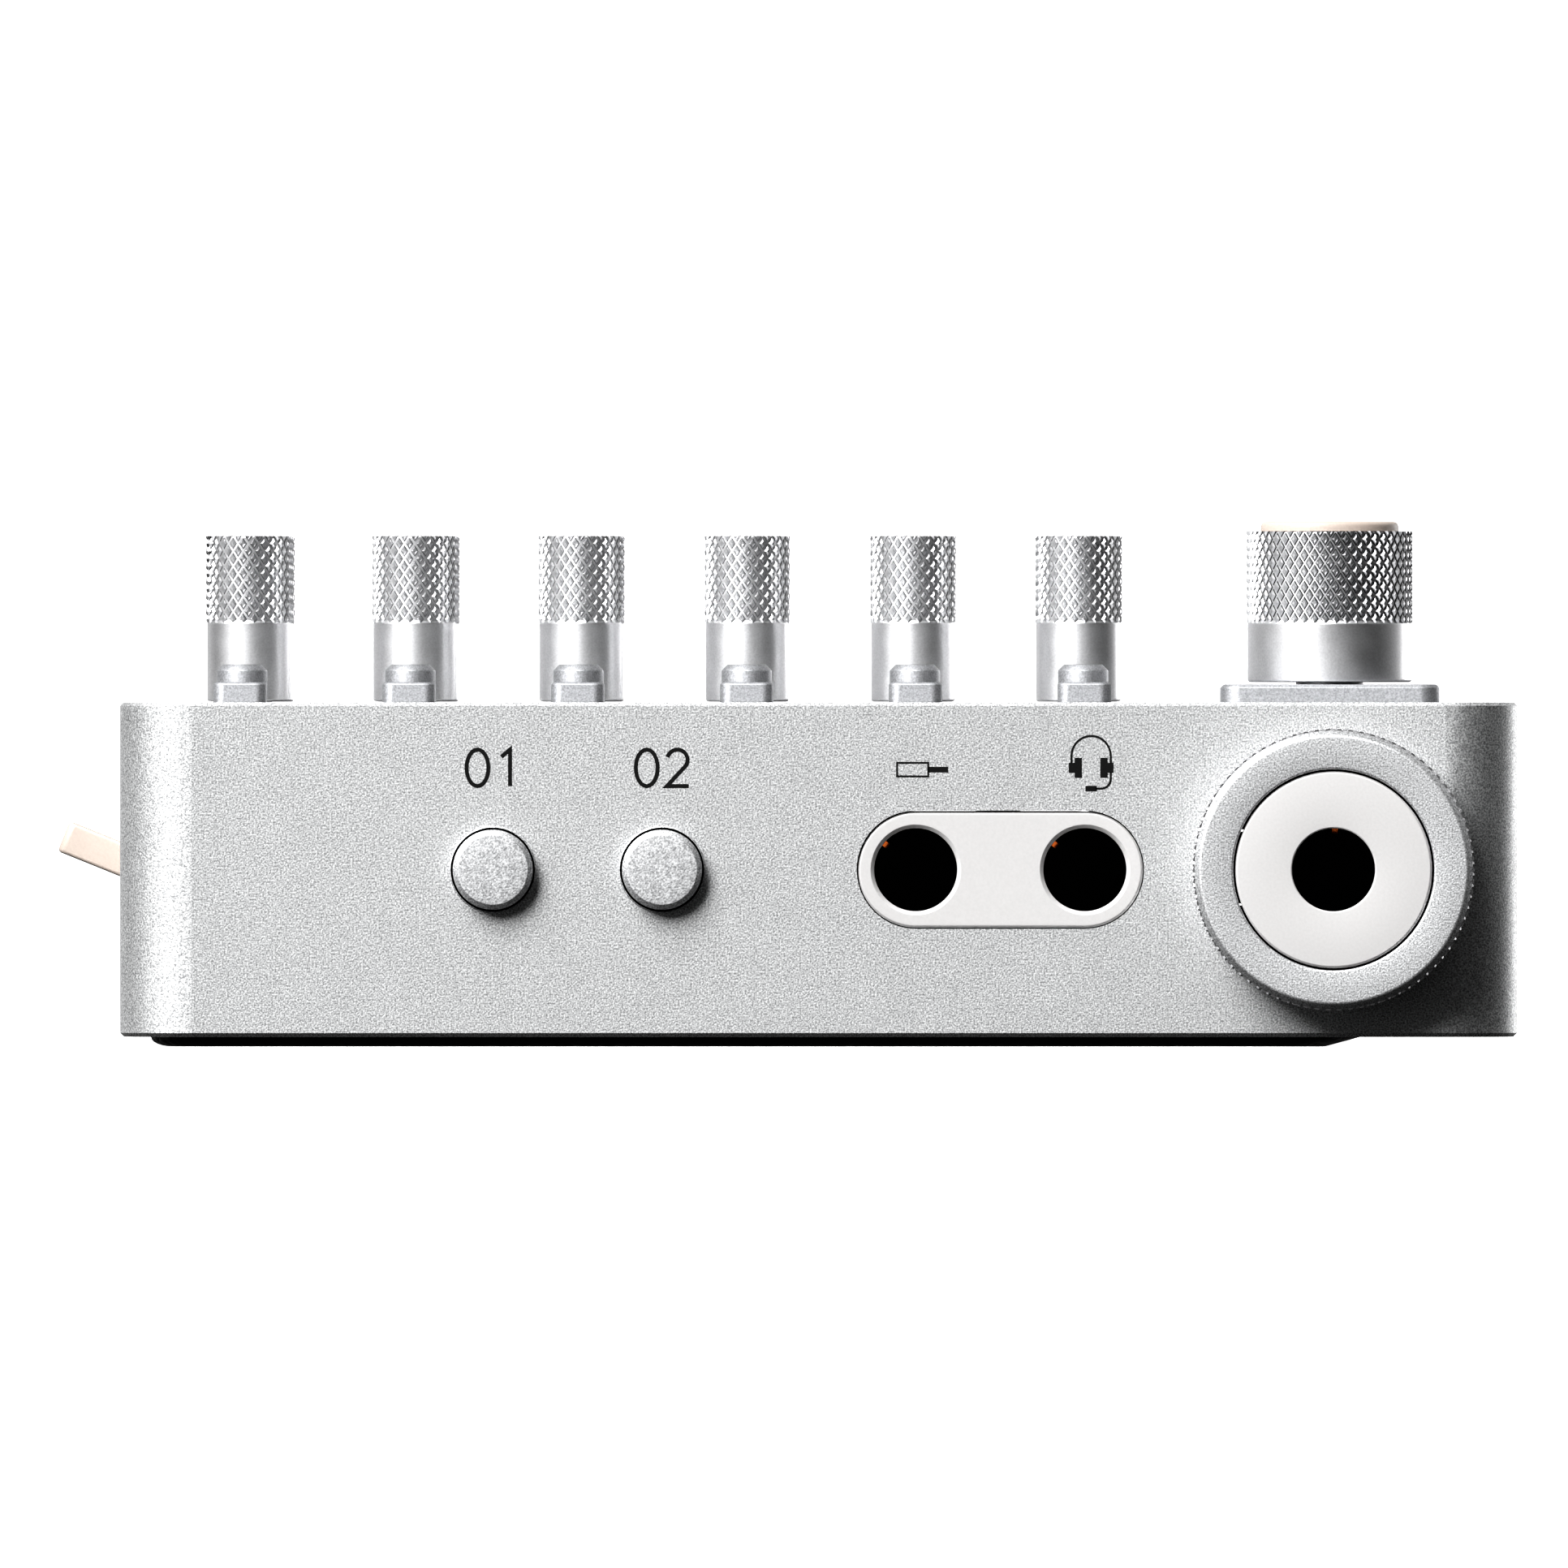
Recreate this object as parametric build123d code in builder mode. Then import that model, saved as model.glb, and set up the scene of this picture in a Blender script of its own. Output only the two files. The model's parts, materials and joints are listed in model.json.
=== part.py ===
"""A pocket six-channel mixer in a machined aluminium case, in millimetres.

+Z is up, the output jacks are on the -Y face and the origin lies on the table under the case's centre.
Every function below makes one sub-part in its place and returns it; the last block writes the STEP files.
"""

import os
from math import cos, radians, sin

from build123d import *

# Case
case_width = 62.0
case_depth = 90.0
case_height = 14.84
case_corner = 3.2
wall = 1.6
deck_thickness = 1.2
deck_edge = 0.15
base_edge = 0.18
pad_thickness = 0.43
pad_top_x = -2.79
pad_top_size = (53.7, 87.2)
pad_sole_x = -3.09
pad_sole_size = (51.08, 85.2)
plate_thickness = 1.0
plate_margin = 1.0
seam = 0.05

base_z = pad_thickness
deck_z = base_z + case_height
deck_under_z = deck_z - deck_thickness
jack_z = base_z + case_height / 2
plate_top_z = base_z + plate_thickness

# The two end walls as sketch planes. Both point along -Y, and their sketch coordinates are X and Z.
front = Plane.XZ.offset(case_depth / 2)
rear = Plane.XZ.offset(-case_depth / 2)
inward_from_front = -1
inward_from_rear = 1

# Grid of the controls
channel_pitch = 7.5
channel_count = 6
first_channel_x = -25.7
channels = [first_channel_x + i * channel_pitch for i in range(channel_count)]
side_x = channels[-1] + 11.0
knob_rows = [37.5, 25.5, 13.5]
knob_places = [(x, y) for y in knob_rows for x in channels]
button_y = -37.5
function_places = [(side_x, 14.5), (side_x, 3.5)]
encoder_y = -24.0

# Circuit boards
main_board_z = 4.5
main_board_thickness = 0.8
main_board_top_z = main_board_z + main_board_thickness
control_board_z = 10.9
control_board_thickness = 0.6
control_board_top_z = control_board_z + control_board_thickness
board_width = 58.0
board_depth = 81.6
board_corner = 1.2
chip_height = 0.9
processor_place = (-8.0, 6.0)
processor_size = (9.0, 9.0)
memory_place = (8.0, 6.0)
memory_size = (6.0, 8.0)
converter_side = 5.0
battery_x = -4.0
battery_size = (38.0, 50.0)
battery_height = 4.6

# Fasteners
boss_places = [(-28.1, 20.5), (28.1, 22.0), (-28.1, -32.5), (28.1, -36.0)]
boss_radius = 1.5
standoff_radius = 1.25
case_screw_radius = 0.75
case_screw_head_radius = 1.4
case_screw_hole_radius = 0.85
post_places = [(x, y) for x in (-14.45, 8.05) for y in (19.5, -32.5)]
post_radius = 1.0
board_screw_radius = 0.55
board_screw_head_radius = 1.0
board_screw_head_height = 0.5
case_screw_reach = 4.0
screw_slot_width = 0.32
thread_gap = 0.02

# Small knobs
knob_radius = 1.88
knurl_radius = 1.92
knob_bottom_z = deck_z + 0.12
knob_top_z = deck_z + 7.57
knurl_height = 4.09
shaft_radius = 0.88
shaft_hole_radius = 1.1
shaft_top_depth = 2.4
shaft_lift = 0.1
pointer_width = 0.28
pointer_depth = 0.15
pot_side = 5.5
pot_height = 2.4
running_gap = 0.07

# Faders
fader_travel = 24.0
fader_low_y = -25.5
fader_middle_y = fader_low_y + fader_travel / 2
fader_cap_radius = 1.125
fader_cap_height = 1.71
fader_cap_chamfer = 0.27
fader_cap_lift = 0.15
fader_stem_lift = 0.7
fader_slot_width = 1.2
fader_stem_width = 0.8
fader_stem_length = 1.6
fader_slot_length = fader_travel + fader_stem_length + 0.6
track_width = 5.6
track_length = 30.0
track_height = 2.2
light_length = 20.0
light_width = 0.7
light_offset_x = channel_pitch / 2
light_lift = 0.4
light_recess = 0.02

# Press buttons
button_side = 2.37
button_corner = 0.5
button_proud = 0.9
function_side = 3.2
function_proud = 0.7
side_button_radius = 1.81
side_button_proud = 0.9
side_button_gap = 0.055
side_button_places = [channels[1] + channel_pitch / 2, channels[2] + channel_pitch / 2]
flange_thickness = 0.5
flange_margin = 0.4
button_gap = 0.08
switch_side = 3.0
switch_height = 1.3
switch_stem_radius = 0.7
switch_stem_height = 0.3
front_switch_top_z = 9.5

# Encoder
encoder_knob_radius = 3.66
encoder_knurl_radius = 3.7
encoder_knurl_height = 4.28
encoder_plate_side = 9.74
encoder_plate_height = 0.82
encoder_shaft_radius = 1.5
encoder_shaft_clearance = 0.4
encoder_body_side = 9.0
encoder_cap_radius = 3.075
encoder_cap_proud = 0.44
encoder_top_z = deck_z + 7.65
encoder_bottom_z = deck_z + encoder_plate_height + 0.1
encoder_pocket_depth = 2.85

# Jacks
jack_radius = 1.84
jack_rim_chamfer = 0.16
jack_body_width = 5.4
jack_body_height = 2 * (jack_z - main_board_top_z)
jack_body_length = 12.8
jack_depth = 12.0
front_jacks = [channels[4], channels[5]]
bezel_height = 5.14
bezel_flange = 0.6
bezel_flange_margin = 0.5

# Volume ring round the main output
ring_proud = 3.2
ring_radius = 6.24
ring_face_radius = 5.93
ring_bore_radius = 4.45
ring_gap = 0.2
hub_radius = 5.15
sleeve_radius = 4.36
sleeve_recess = 0.1
sleeve_face_thickness = 1.5
sleeve_length = 6.2
sleeve_wall = 0.55
sensor_thickness = 1.3

# USB socket
usb_x = 21.0
usb_width = 8.94
usb_height = 3.26
usb_wall = 0.3
usb_length = 7.35
usb_back = 0.8
usb_tongue_length = 4.6
usb_tongue_size = (6.7, 0.7)
usb_leg_size = (0.8, 1.2)
usb_leg_spacing = 5.2
usb_leg_inset = 5.6

# Display
display_y = 33.0
display_width = 10.4
display_length = 14.0
display_corner = 1.0
glass_thickness = 0.7
glass_ledge = 0.7
panel_thickness = 1.2

# Power lever in the left wall
lever_y = 14.0
lever_pivot_x = -28.9
lever_pivot_z = 7.22
lever_angle = 22.0
lever_reach = 5.58
lever_tail = 2.0
lever_thickness = 1.45
lever_width = 6.0
lever_hub_radius = 1.1
lever_pin_radius = 0.4
lever_slot_height = 3.46
power_switch_wall = 0.7
power_switch_open_x = -25.9
power_switch_back_x = -24.4
power_switch_top_z = 9.6


def make_housing():
    """The machined shell: deck and four walls in one piece, open underneath."""
    bosses = make_bosses()
    openings = [make_deck_openings(), make_front_openings(), make_rear_openings(), make_lever_opening()]
    rebate = plate_margin - seam
    with BuildPart() as housing:
        with BuildSketch(Plane.XY.offset(base_z)):
            RectangleRounded(case_width, case_depth, case_corner)
        extrude(amount=case_height)
        chamfer(housing.faces().sort_by(Axis.Z)[-1].edges(), deck_edge)
        chamfer(housing.faces().sort_by(Axis.Z)[0].edges(), base_edge)
        with BuildSketch(Plane.XY.offset(base_z)):
            RectangleRounded(case_width - 2 * wall, case_depth - 2 * wall, case_corner - wall)
        extrude(amount=case_height - deck_thickness, mode=Mode.SUBTRACT)
        with BuildSketch(Plane.XY.offset(base_z)):
            RectangleRounded(case_width - 2 * rebate, case_depth - 2 * rebate, case_corner - rebate)
        extrude(amount=plate_thickness, mode=Mode.SUBTRACT)
        add(bosses)
        add(openings, mode=Mode.SUBTRACT)
    return housing.part


def make_bosses():
    """Screw bosses that reach the main board, and short posts that carry the control board."""
    with BuildPart() as bosses:
        with BuildSketch(Plane.XY.offset(main_board_top_z + seam)):
            with Locations(boss_places):
                Circle(boss_radius)
                Circle(case_screw_radius + thread_gap, mode=Mode.SUBTRACT)
        extrude(amount=deck_under_z - main_board_top_z - seam)
        with BuildSketch(Plane.XY.offset(control_board_top_z)):
            with Locations(post_places):
                Circle(post_radius)
                Circle(board_screw_radius + thread_gap, mode=Mode.SUBTRACT)
        extrude(amount=deck_under_z - control_board_top_z)
    return bosses.part


def make_deck_openings():
    """Openings for shafts, fader stems, light guides, buttons, the encoder and the display."""
    with BuildPart() as openings:
        with BuildSketch(Plane.XY.offset(deck_under_z)):
            with Locations(knob_places):
                Circle(shaft_hole_radius)
            with Locations((side_x, encoder_y)):
                Circle(encoder_shaft_radius + encoder_shaft_clearance)
            with Locations([(x, fader_middle_y) for x in channels]):
                SlotOverall(fader_slot_length, fader_slot_width, rotation=90)
            with Locations([(x + light_offset_x, fader_middle_y) for x in channels]):
                Rectangle(light_width + 2 * seam, light_length + 2 * seam)
            with Locations([(x, button_y) for x in channels]):
                opening = button_side + 2 * button_gap
                RectangleRounded(opening, opening, button_corner + button_gap)
            with Locations(function_places):
                opening = function_side + 2 * button_gap
                RectangleRounded(opening, opening, button_corner + button_gap)
            with Locations((side_x, display_y)):
                width = display_width - 2 * glass_ledge
                length = display_length - 2 * glass_ledge
                RectangleRounded(width, length, display_corner / 2)
        extrude(amount=deck_thickness)
        with BuildSketch(Plane.XY.offset(deck_z)):
            with Locations((side_x, display_y)):
                RectangleRounded(display_width, display_length, display_corner)
        extrude(amount=-glass_thickness - seam)
    return openings.part


def make_front_openings():
    """Holes in the front wall: two round buttons, the twin jack bezel and the volume ring's hub."""
    with BuildPart() as openings:
        with BuildSketch(front):
            with Locations([(x, jack_z) for x in side_button_places]):
                Circle(side_button_radius + side_button_gap)
            with Locations((sum(front_jacks) / 2, jack_z)):
                SlotOverall(bezel_length(front_jacks) + 2 * seam, bezel_height + 2 * seam)
            with Locations((side_x, jack_z)):
                Circle(hub_radius + 0.1)
        extrude(amount=-wall)
    return openings.part


def make_rear_openings():
    """Holes in the rear wall: the six-input bezel and the USB socket."""
    with BuildPart() as openings:
        with BuildSketch(rear):
            with Locations((sum(channels) / channel_count, jack_z)):
                SlotOverall(bezel_length(channels) + 2 * seam, bezel_height + 2 * seam)
            with Locations((usb_x, jack_z)):
                SlotOverall(usb_width + 0.2, usb_height + 0.2)
        extrude(amount=wall)
    return openings.part


def make_lever_opening():
    """Upright slot in the left wall that the power lever swings in."""
    with BuildPart() as opening:
        with BuildSketch(Plane.YZ.offset(-case_width / 2)):
            with Locations((lever_y, lever_pivot_z)):
                RectangleRounded(lever_width + 0.3, lever_slot_height, 0.5)
        extrude(amount=wall)
    return opening.part


def bezel_length(jacks):
    """Overall length of a stadium plate round a row of jacks."""
    return jacks[-1] - jacks[0] + bezel_height


def make_bottom_plate():
    """Flat plate let into the case, with a hollow standoff under the main board at each screw."""
    plate_width = case_width - 2 * plate_margin
    plate_depth = case_depth - 2 * plate_margin
    underside = Plane(origin=(0, 0, base_z), x_dir=(1, 0, 0), z_dir=(0, 0, -1))
    with BuildPart() as plate:
        with BuildSketch(Plane.XY.offset(base_z)):
            RectangleRounded(plate_width, plate_depth, case_corner - plate_margin)
        extrude(amount=plate_thickness)
        with BuildSketch(Plane.XY.offset(plate_top_z)):
            with Locations(boss_places):
                Circle(standoff_radius)
        extrude(amount=main_board_z - plate_top_z)
        with Locations(underside):
            with Locations([(x, -y) for x, y in boss_places]):
                CounterSinkHole(case_screw_hole_radius, case_screw_head_radius + seam, counter_sink_angle=90)
    return plate.part


def make_base_pad():
    """Thin cushioned sole whose edges slope up to the plate. It stops short of the right-hand side."""
    with BuildPart() as pad:
        with BuildSketch(Plane.XY.offset(base_z)):
            with Locations((pad_top_x, 0)):
                RectangleRounded(*pad_top_size, 2.6)
        with BuildSketch(Plane.XY):
            with Locations((pad_sole_x, 0)):
                RectangleRounded(*pad_sole_size, 1.8)
        loft(ruled=True)
    return pad.part


def make_screws():
    """Four countersunk case screws, and four pan-head screws under the control board."""
    case_screw = make_case_screw()
    board_screw = make_board_screw()
    with BuildPart() as screws:
        with Locations([(x, y, base_z + 0.03) for x, y in boss_places]):
            add(case_screw)
        with Locations([(x, y, control_board_z) for x, y in post_places]):
            add(board_screw)
    return screws.part


def make_case_screw():
    """Countersunk screw that points up from its head's flat face at z = 0."""
    length = main_board_top_z + case_screw_reach - base_z
    with BuildPart() as screw:
        with BuildSketch(Plane.XZ):
            with BuildLine():
                Polyline(
                    (0, 0),
                    (case_screw_head_radius, 0),
                    (case_screw_radius, case_screw_head_radius - case_screw_radius),
                    (case_screw_radius, length),
                    (0, length),
                    close=True,
                )
            make_face()
        revolve(axis=Axis.Z)
        with BuildSketch(Plane.XY):
            Rectangle(case_screw_head_radius, screw_slot_width)
            Rectangle(screw_slot_width, case_screw_head_radius)
        extrude(amount=0.5, mode=Mode.SUBTRACT)
    return screw.part


def make_board_screw():
    """Pan-head screw that points up, with its head hanging below z = 0."""
    with BuildPart() as screw:
        with BuildSketch(Plane.XY.offset(-board_screw_head_height)):
            Circle(board_screw_head_radius)
        extrude(amount=board_screw_head_height)
        fillet(screw.edges().sort_by(Axis.Z)[0], 0.2)
        with BuildSketch(Plane.XY):
            Circle(board_screw_radius)
        extrude(amount=control_board_thickness + 1.7)
        with BuildSketch(Plane.XY.offset(-board_screw_head_height)):
            Rectangle(board_screw_head_radius, screw_slot_width)
            Rectangle(screw_slot_width, board_screw_head_radius)
        extrude(amount=0.3, mode=Mode.SUBTRACT)
    return screw.part


def make_main_board():
    """Main circuit board with its processor, converter and memory chips underneath."""
    with BuildPart() as board:
        with BuildSketch(Plane.XY.offset(main_board_z)):
            RectangleRounded(board_width, board_depth, board_corner)
            with Locations(boss_places):
                Circle(case_screw_hole_radius, mode=Mode.SUBTRACT)
        extrude(amount=main_board_thickness)
        with BuildSketch(Plane.XY.offset(main_board_z)):
            with Locations(processor_place):
                Rectangle(*processor_size)
            with Locations(memory_place):
                Rectangle(*memory_size)
            with Locations((0, -14.0)):
                with GridLocations(14.0, 16.0, 2, 2):
                    Rectangle(converter_side, converter_side)
        extrude(amount=-chip_height)
    return board.part


def make_control_board():
    """Board under the deck that carries the potentiometers, faders, switches and encoder."""
    with BuildPart() as board:
        with BuildSketch(Plane.XY.offset(control_board_z)):
            RectangleRounded(board_width, board_depth, board_corner)
            with Locations(boss_places):
                Circle(boss_radius + 0.2, mode=Mode.SUBTRACT)
            with Locations(post_places):
                Circle(board_screw_radius + 0.1, mode=Mode.SUBTRACT)
        extrude(amount=control_board_thickness)
    return board.part


def make_battery():
    """Flat lithium cell between the two boards."""
    with BuildPart() as cell:
        with BuildSketch(Plane.XY.offset(main_board_top_z)):
            with Locations((battery_x, 0)):
                RectangleRounded(*battery_size, 1.5)
        extrude(amount=battery_height)
        fillet(cell.edges().filter_by(Plane.XY), 0.8)
    return cell.part


def make_bezel(jacks, plane, inward):
    """Moulded stadium plate, flush with the wall, with one chamfered hole per jack and a flange inside."""
    length = bezel_length(jacks)
    middle_x = (jacks[0] + jacks[-1]) / 2
    with BuildPart() as bezel:
        with BuildSketch(plane.offset(inward * seam)):
            with Locations((middle_x, jack_z)):
                SlotOverall(length, bezel_height)
        extrude(amount=inward * (wall - seam))
        with BuildSketch(plane.offset(inward * wall)):
            with Locations((middle_x, jack_z)):
                Rectangle(length - 2 * bezel_flange, bezel_height + 2 * bezel_flange_margin)
        extrude(amount=inward * bezel_flange)
        with BuildSketch(plane):
            with Locations([(x, jack_z) for x in jacks]):
                Circle(jack_radius)
        extrude(amount=inward * (wall + bezel_flange + 1), mode=Mode.SUBTRACT)
        face = bezel.faces().sort_by(Axis.Y)[0 if inward < 0 else -1]
        chamfer(face.inner_wires().edges(), jack_rim_chamfer)
        chamfer(face.outer_wire().edges(), 0.08)
    return bezel.part


def make_jack_sockets():
    """Nine identical socket bodies: two front, six rear and the main output's."""
    socket = make_jack_socket()
    front_start = -case_depth / 2 + wall + bezel_flange
    rear_start = case_depth / 2 - wall - bezel_flange
    main_start = -case_depth / 2 - ring_proud + sleeve_recess + sleeve_face_thickness
    with BuildPart() as sockets:
        with Locations([(x, front_start, jack_z) for x in front_jacks]):
            add(socket)
        with Locations((side_x, main_start, jack_z)):
            add(socket)
        with Locations([(x, rear_start, jack_z) for x in channels]):
            add(socket, rotation=(0, 0, 180))
    return sockets.part


def make_jack_socket():
    """One socket body running along +Y from y = 0, with its bore open at y = 0 and closed at the end."""
    with BuildPart() as socket:
        with BuildSketch(Plane.XZ):
            RectangleRounded(jack_body_width, jack_body_height, 0.3)
        extrude(amount=-jack_body_length)
        with BuildSketch(Plane.XZ):
            Circle(jack_radius)
        extrude(amount=-jack_depth, mode=Mode.SUBTRACT)
    return socket.part


def make_output_sleeve():
    """Fixed white sleeve inside the volume ring: a face with the jack hole, hollow behind for the socket."""
    face_y = case_depth / 2 + ring_proud - sleeve_recess
    with BuildPart() as sleeve:
        with BuildSketch(Plane.XZ.offset(face_y)):
            with Locations((side_x, jack_z)):
                Circle(sleeve_radius)
        extrude(amount=-sleeve_length)
        chamfer(sleeve.faces().sort_by(Axis.Y)[0].edges(), 0.1)
        with BuildSketch(Plane.XZ.offset(face_y - sleeve_face_thickness)):
            with Locations((side_x, jack_z)):
                Circle(sleeve_radius - sleeve_wall)
        extrude(amount=-sleeve_length, mode=Mode.SUBTRACT)
        with BuildSketch(Plane.XZ.offset(face_y)):
            with Locations((side_x, jack_z)):
                Circle(jack_radius)
        extrude(amount=-sleeve_face_thickness, mode=Mode.SUBTRACT)
        chamfer(sleeve.faces().sort_by(Axis.Y)[0].inner_wires().edges(), 0.05)
    return sleeve.part


def make_volume_ring():
    """Turning ring with its hub through the front wall, and the clip that holds it there."""
    face_y = case_depth / 2 + ring_proud
    hub_length = wall + ring_gap + 0.8
    with BuildPart() as ring:
        with BuildSketch(Plane.XZ.offset(case_depth / 2 + ring_gap)):
            with Locations((side_x, jack_z)):
                Circle(ring_radius)
        extrude(amount=ring_proud - ring_gap)
        bevel = ring_radius - ring_face_radius
        chamfer(ring.faces().sort_by(Axis.Y)[0].edges(), bevel)
        with BuildSketch(Plane.XZ.offset(case_depth / 2 + ring_gap)):
            with Locations((side_x, jack_z)):
                Circle(hub_radius)
        extrude(amount=-hub_length)
        with BuildSketch(Plane.XZ.offset(face_y)):
            with Locations((side_x, jack_z)):
                Circle(ring_bore_radius)
        extrude(amount=-ring_proud - hub_length, mode=Mode.SUBTRACT)
        chamfer(ring.faces().sort_by(Axis.Y)[0].inner_wires().edges(), 0.08)
        with BuildSketch(Plane.XZ.offset(case_depth / 2 - wall - 0.1)):
            with Locations((side_x, jack_z)):
                Circle(hub_radius + 0.3)
                Circle(hub_radius + thread_gap, mode=Mode.SUBTRACT)
        extrude(amount=-0.4)
    return ring.part


def make_volume_sensor():
    """Fixed annular sensor that reads the ring's turn, just behind its hub."""
    with BuildPart() as sensor:
        with BuildSketch(Plane.XZ.offset(case_depth / 2 - wall - 1.0)):
            with Locations((side_x, jack_z)):
                Circle(hub_radius + 0.95)
                Circle(sleeve_radius + 0.15, mode=Mode.SUBTRACT)
        extrude(amount=-sensor_thickness)
    return sensor.part


def make_usb_socket():
    """Steel stadium shell closed at the back, with its contact tongue and two legs to the board."""
    with BuildPart() as socket:
        with BuildSketch(rear):
            with Locations((usb_x, jack_z)):
                SlotOverall(usb_width, usb_height)
        extrude(amount=usb_length)
        with BuildSketch(rear):
            with Locations((usb_x, jack_z)):
                SlotOverall(usb_width - 2 * usb_wall, usb_height - 2 * usb_wall)
        extrude(amount=usb_length - usb_back, mode=Mode.SUBTRACT)
        with BuildSketch(rear.offset(usb_length - usb_back)):
            with Locations((usb_x, jack_z)):
                Rectangle(*usb_tongue_size)
        extrude(amount=-usb_tongue_length)
        with BuildSketch(Plane.XY.offset(main_board_top_z)):
            with Locations((usb_x, case_depth / 2 - usb_leg_inset)):
                with GridLocations(usb_leg_spacing, 0, 2, 1):
                    Rectangle(*usb_leg_size)
        extrude(amount=jack_z - usb_height / 2 + usb_wall - main_board_top_z)
    return socket.part


def make_display_glass():
    """Window let into the deck."""
    with BuildPart() as glass:
        with BuildSketch(Plane.XY.offset(deck_z)):
            with Locations((side_x, display_y)):
                width = display_width - 2 * seam
                length = display_length - 2 * seam
                RectangleRounded(width, length, display_corner - seam)
        extrude(amount=-glass_thickness)
    return glass.part


def make_display_panel():
    """Thin display module under the window."""
    with BuildPart() as panel:
        with BuildSketch(Plane.XY.offset(deck_under_z - seam)):
            with Locations((side_x, display_y)):
                Rectangle(display_width - 0.2, display_length + 0.4)
        extrude(amount=-panel_thickness)
    return panel.part


def make_light_guides():
    """Clear level-meter bars, one beside each fader, from the board up to the deck."""
    with BuildPart() as guides:
        with BuildSketch(Plane.XY.offset(control_board_top_z + light_lift)):
            with Locations([(x + light_offset_x, fader_middle_y) for x in channels]):
                Rectangle(light_width, light_length)
        extrude(amount=deck_z - light_recess - control_board_top_z - light_lift)
    return guides.part


def make_potentiometers():
    """Eighteen square potentiometer bodies on the control board."""
    with BuildPart() as pots:
        with BuildSketch(Plane.XY.offset(control_board_top_z)):
            with Locations(knob_places):
                Rectangle(pot_side, pot_side)
                Circle(shaft_radius + running_gap, mode=Mode.SUBTRACT)
        extrude(amount=pot_height)
    return pots.part


def make_fader_tracks():
    """Six slide-potentiometer bodies, each with a channel for its stem."""
    channel_depth = track_height - 0.5
    with BuildPart() as tracks:
        with BuildSketch(Plane.XY.offset(control_board_top_z)):
            with Locations([(x, fader_middle_y) for x in channels]):
                Rectangle(track_width, track_length)
        extrude(amount=track_height)
        with BuildSketch(Plane.XY.offset(control_board_top_z + track_height)):
            with Locations([(x, fader_middle_y) for x in channels]):
                Rectangle(fader_slot_width, fader_slot_length)
        extrude(amount=-channel_depth, mode=Mode.SUBTRACT)
    return tracks.part


def make_switches():
    """Tactile switches: one under each deck button, and one behind each front button."""
    front_switch_y = case_depth / 2 - wall - 1.4
    with BuildPart() as switches:
        with BuildSketch(Plane.XY.offset(control_board_top_z)):
            with Locations([(x, button_y) for x in channels] + function_places):
                Rectangle(switch_side, switch_side)
        extrude(amount=switch_height)
        with BuildSketch(Plane.XY.offset(control_board_top_z + switch_height)):
            with Locations([(x, button_y) for x in channels] + function_places):
                Circle(switch_stem_radius)
        extrude(amount=switch_stem_height)
        with BuildSketch(Plane.XZ.offset(front_switch_y)):
            with Locations([(x, (main_board_top_z + front_switch_top_z) / 2) for x in side_button_places]):
                Rectangle(switch_side + 0.2, front_switch_top_z - main_board_top_z)
        extrude(amount=-switch_side)
        with BuildSketch(Plane.XZ.offset(front_switch_y)):
            with Locations([(x, jack_z) for x in side_button_places]):
                Circle(switch_stem_radius)
        extrude(amount=switch_stem_height + 0.05)
    return switches.part


def make_encoder_plate():
    """Raised square platform under the encoder knob."""
    with BuildPart() as plate:
        with BuildSketch(Plane.XY.offset(deck_z)):
            with Locations((side_x, encoder_y)):
                RectangleRounded(encoder_plate_side, encoder_plate_side, 0.9)
        extrude(amount=encoder_plate_height)
        chamfer(plate.faces().sort_by(Axis.Z)[-1].edges(), 0.15)
        with BuildSketch(Plane.XY.offset(deck_z)):
            with Locations((side_x, encoder_y)):
                Circle(encoder_shaft_radius + encoder_shaft_clearance)
        extrude(amount=encoder_plate_height, mode=Mode.SUBTRACT)
    return plate.part


def make_encoder_body():
    """Rotary encoder on the control board, with the bore its shaft turns in."""
    with BuildPart() as body:
        with BuildSketch(Plane.XY.offset(control_board_top_z)):
            with Locations((side_x, encoder_y)):
                Rectangle(encoder_body_side, encoder_body_side)
                Circle(encoder_shaft_radius + running_gap, mode=Mode.SUBTRACT)
        extrude(amount=pot_height)
    return body.part


def make_power_switch():
    """U-shaped switch body behind the left wall, with the pin that the lever turns on."""
    inside = lever_width + 0.4
    outside = inside + 2 * power_switch_wall
    front_x = -case_width / 2 + wall + 0.1
    pin_plane = Plane.XZ.offset(-lever_y - outside / 2)
    with BuildPart() as switch:
        with BuildSketch(Plane.XY.offset(main_board_top_z)):
            with Locations(((front_x + power_switch_back_x) / 2, lever_y)):
                Rectangle(power_switch_back_x - front_x, outside)
            with Locations(((front_x + power_switch_open_x) / 2, lever_y)):
                Rectangle(power_switch_open_x - front_x, inside, mode=Mode.SUBTRACT)
        extrude(amount=power_switch_top_z - main_board_top_z)
        with BuildSketch(pin_plane):
            with Locations((lever_pivot_x, lever_pivot_z)):
                Circle(lever_pin_radius + thread_gap)
        extrude(amount=outside, mode=Mode.SUBTRACT)
        with BuildSketch(pin_plane):
            with Locations((lever_pivot_x, lever_pivot_z)):
                Circle(lever_pin_radius)
        extrude(amount=outside)
    return switch.part


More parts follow.
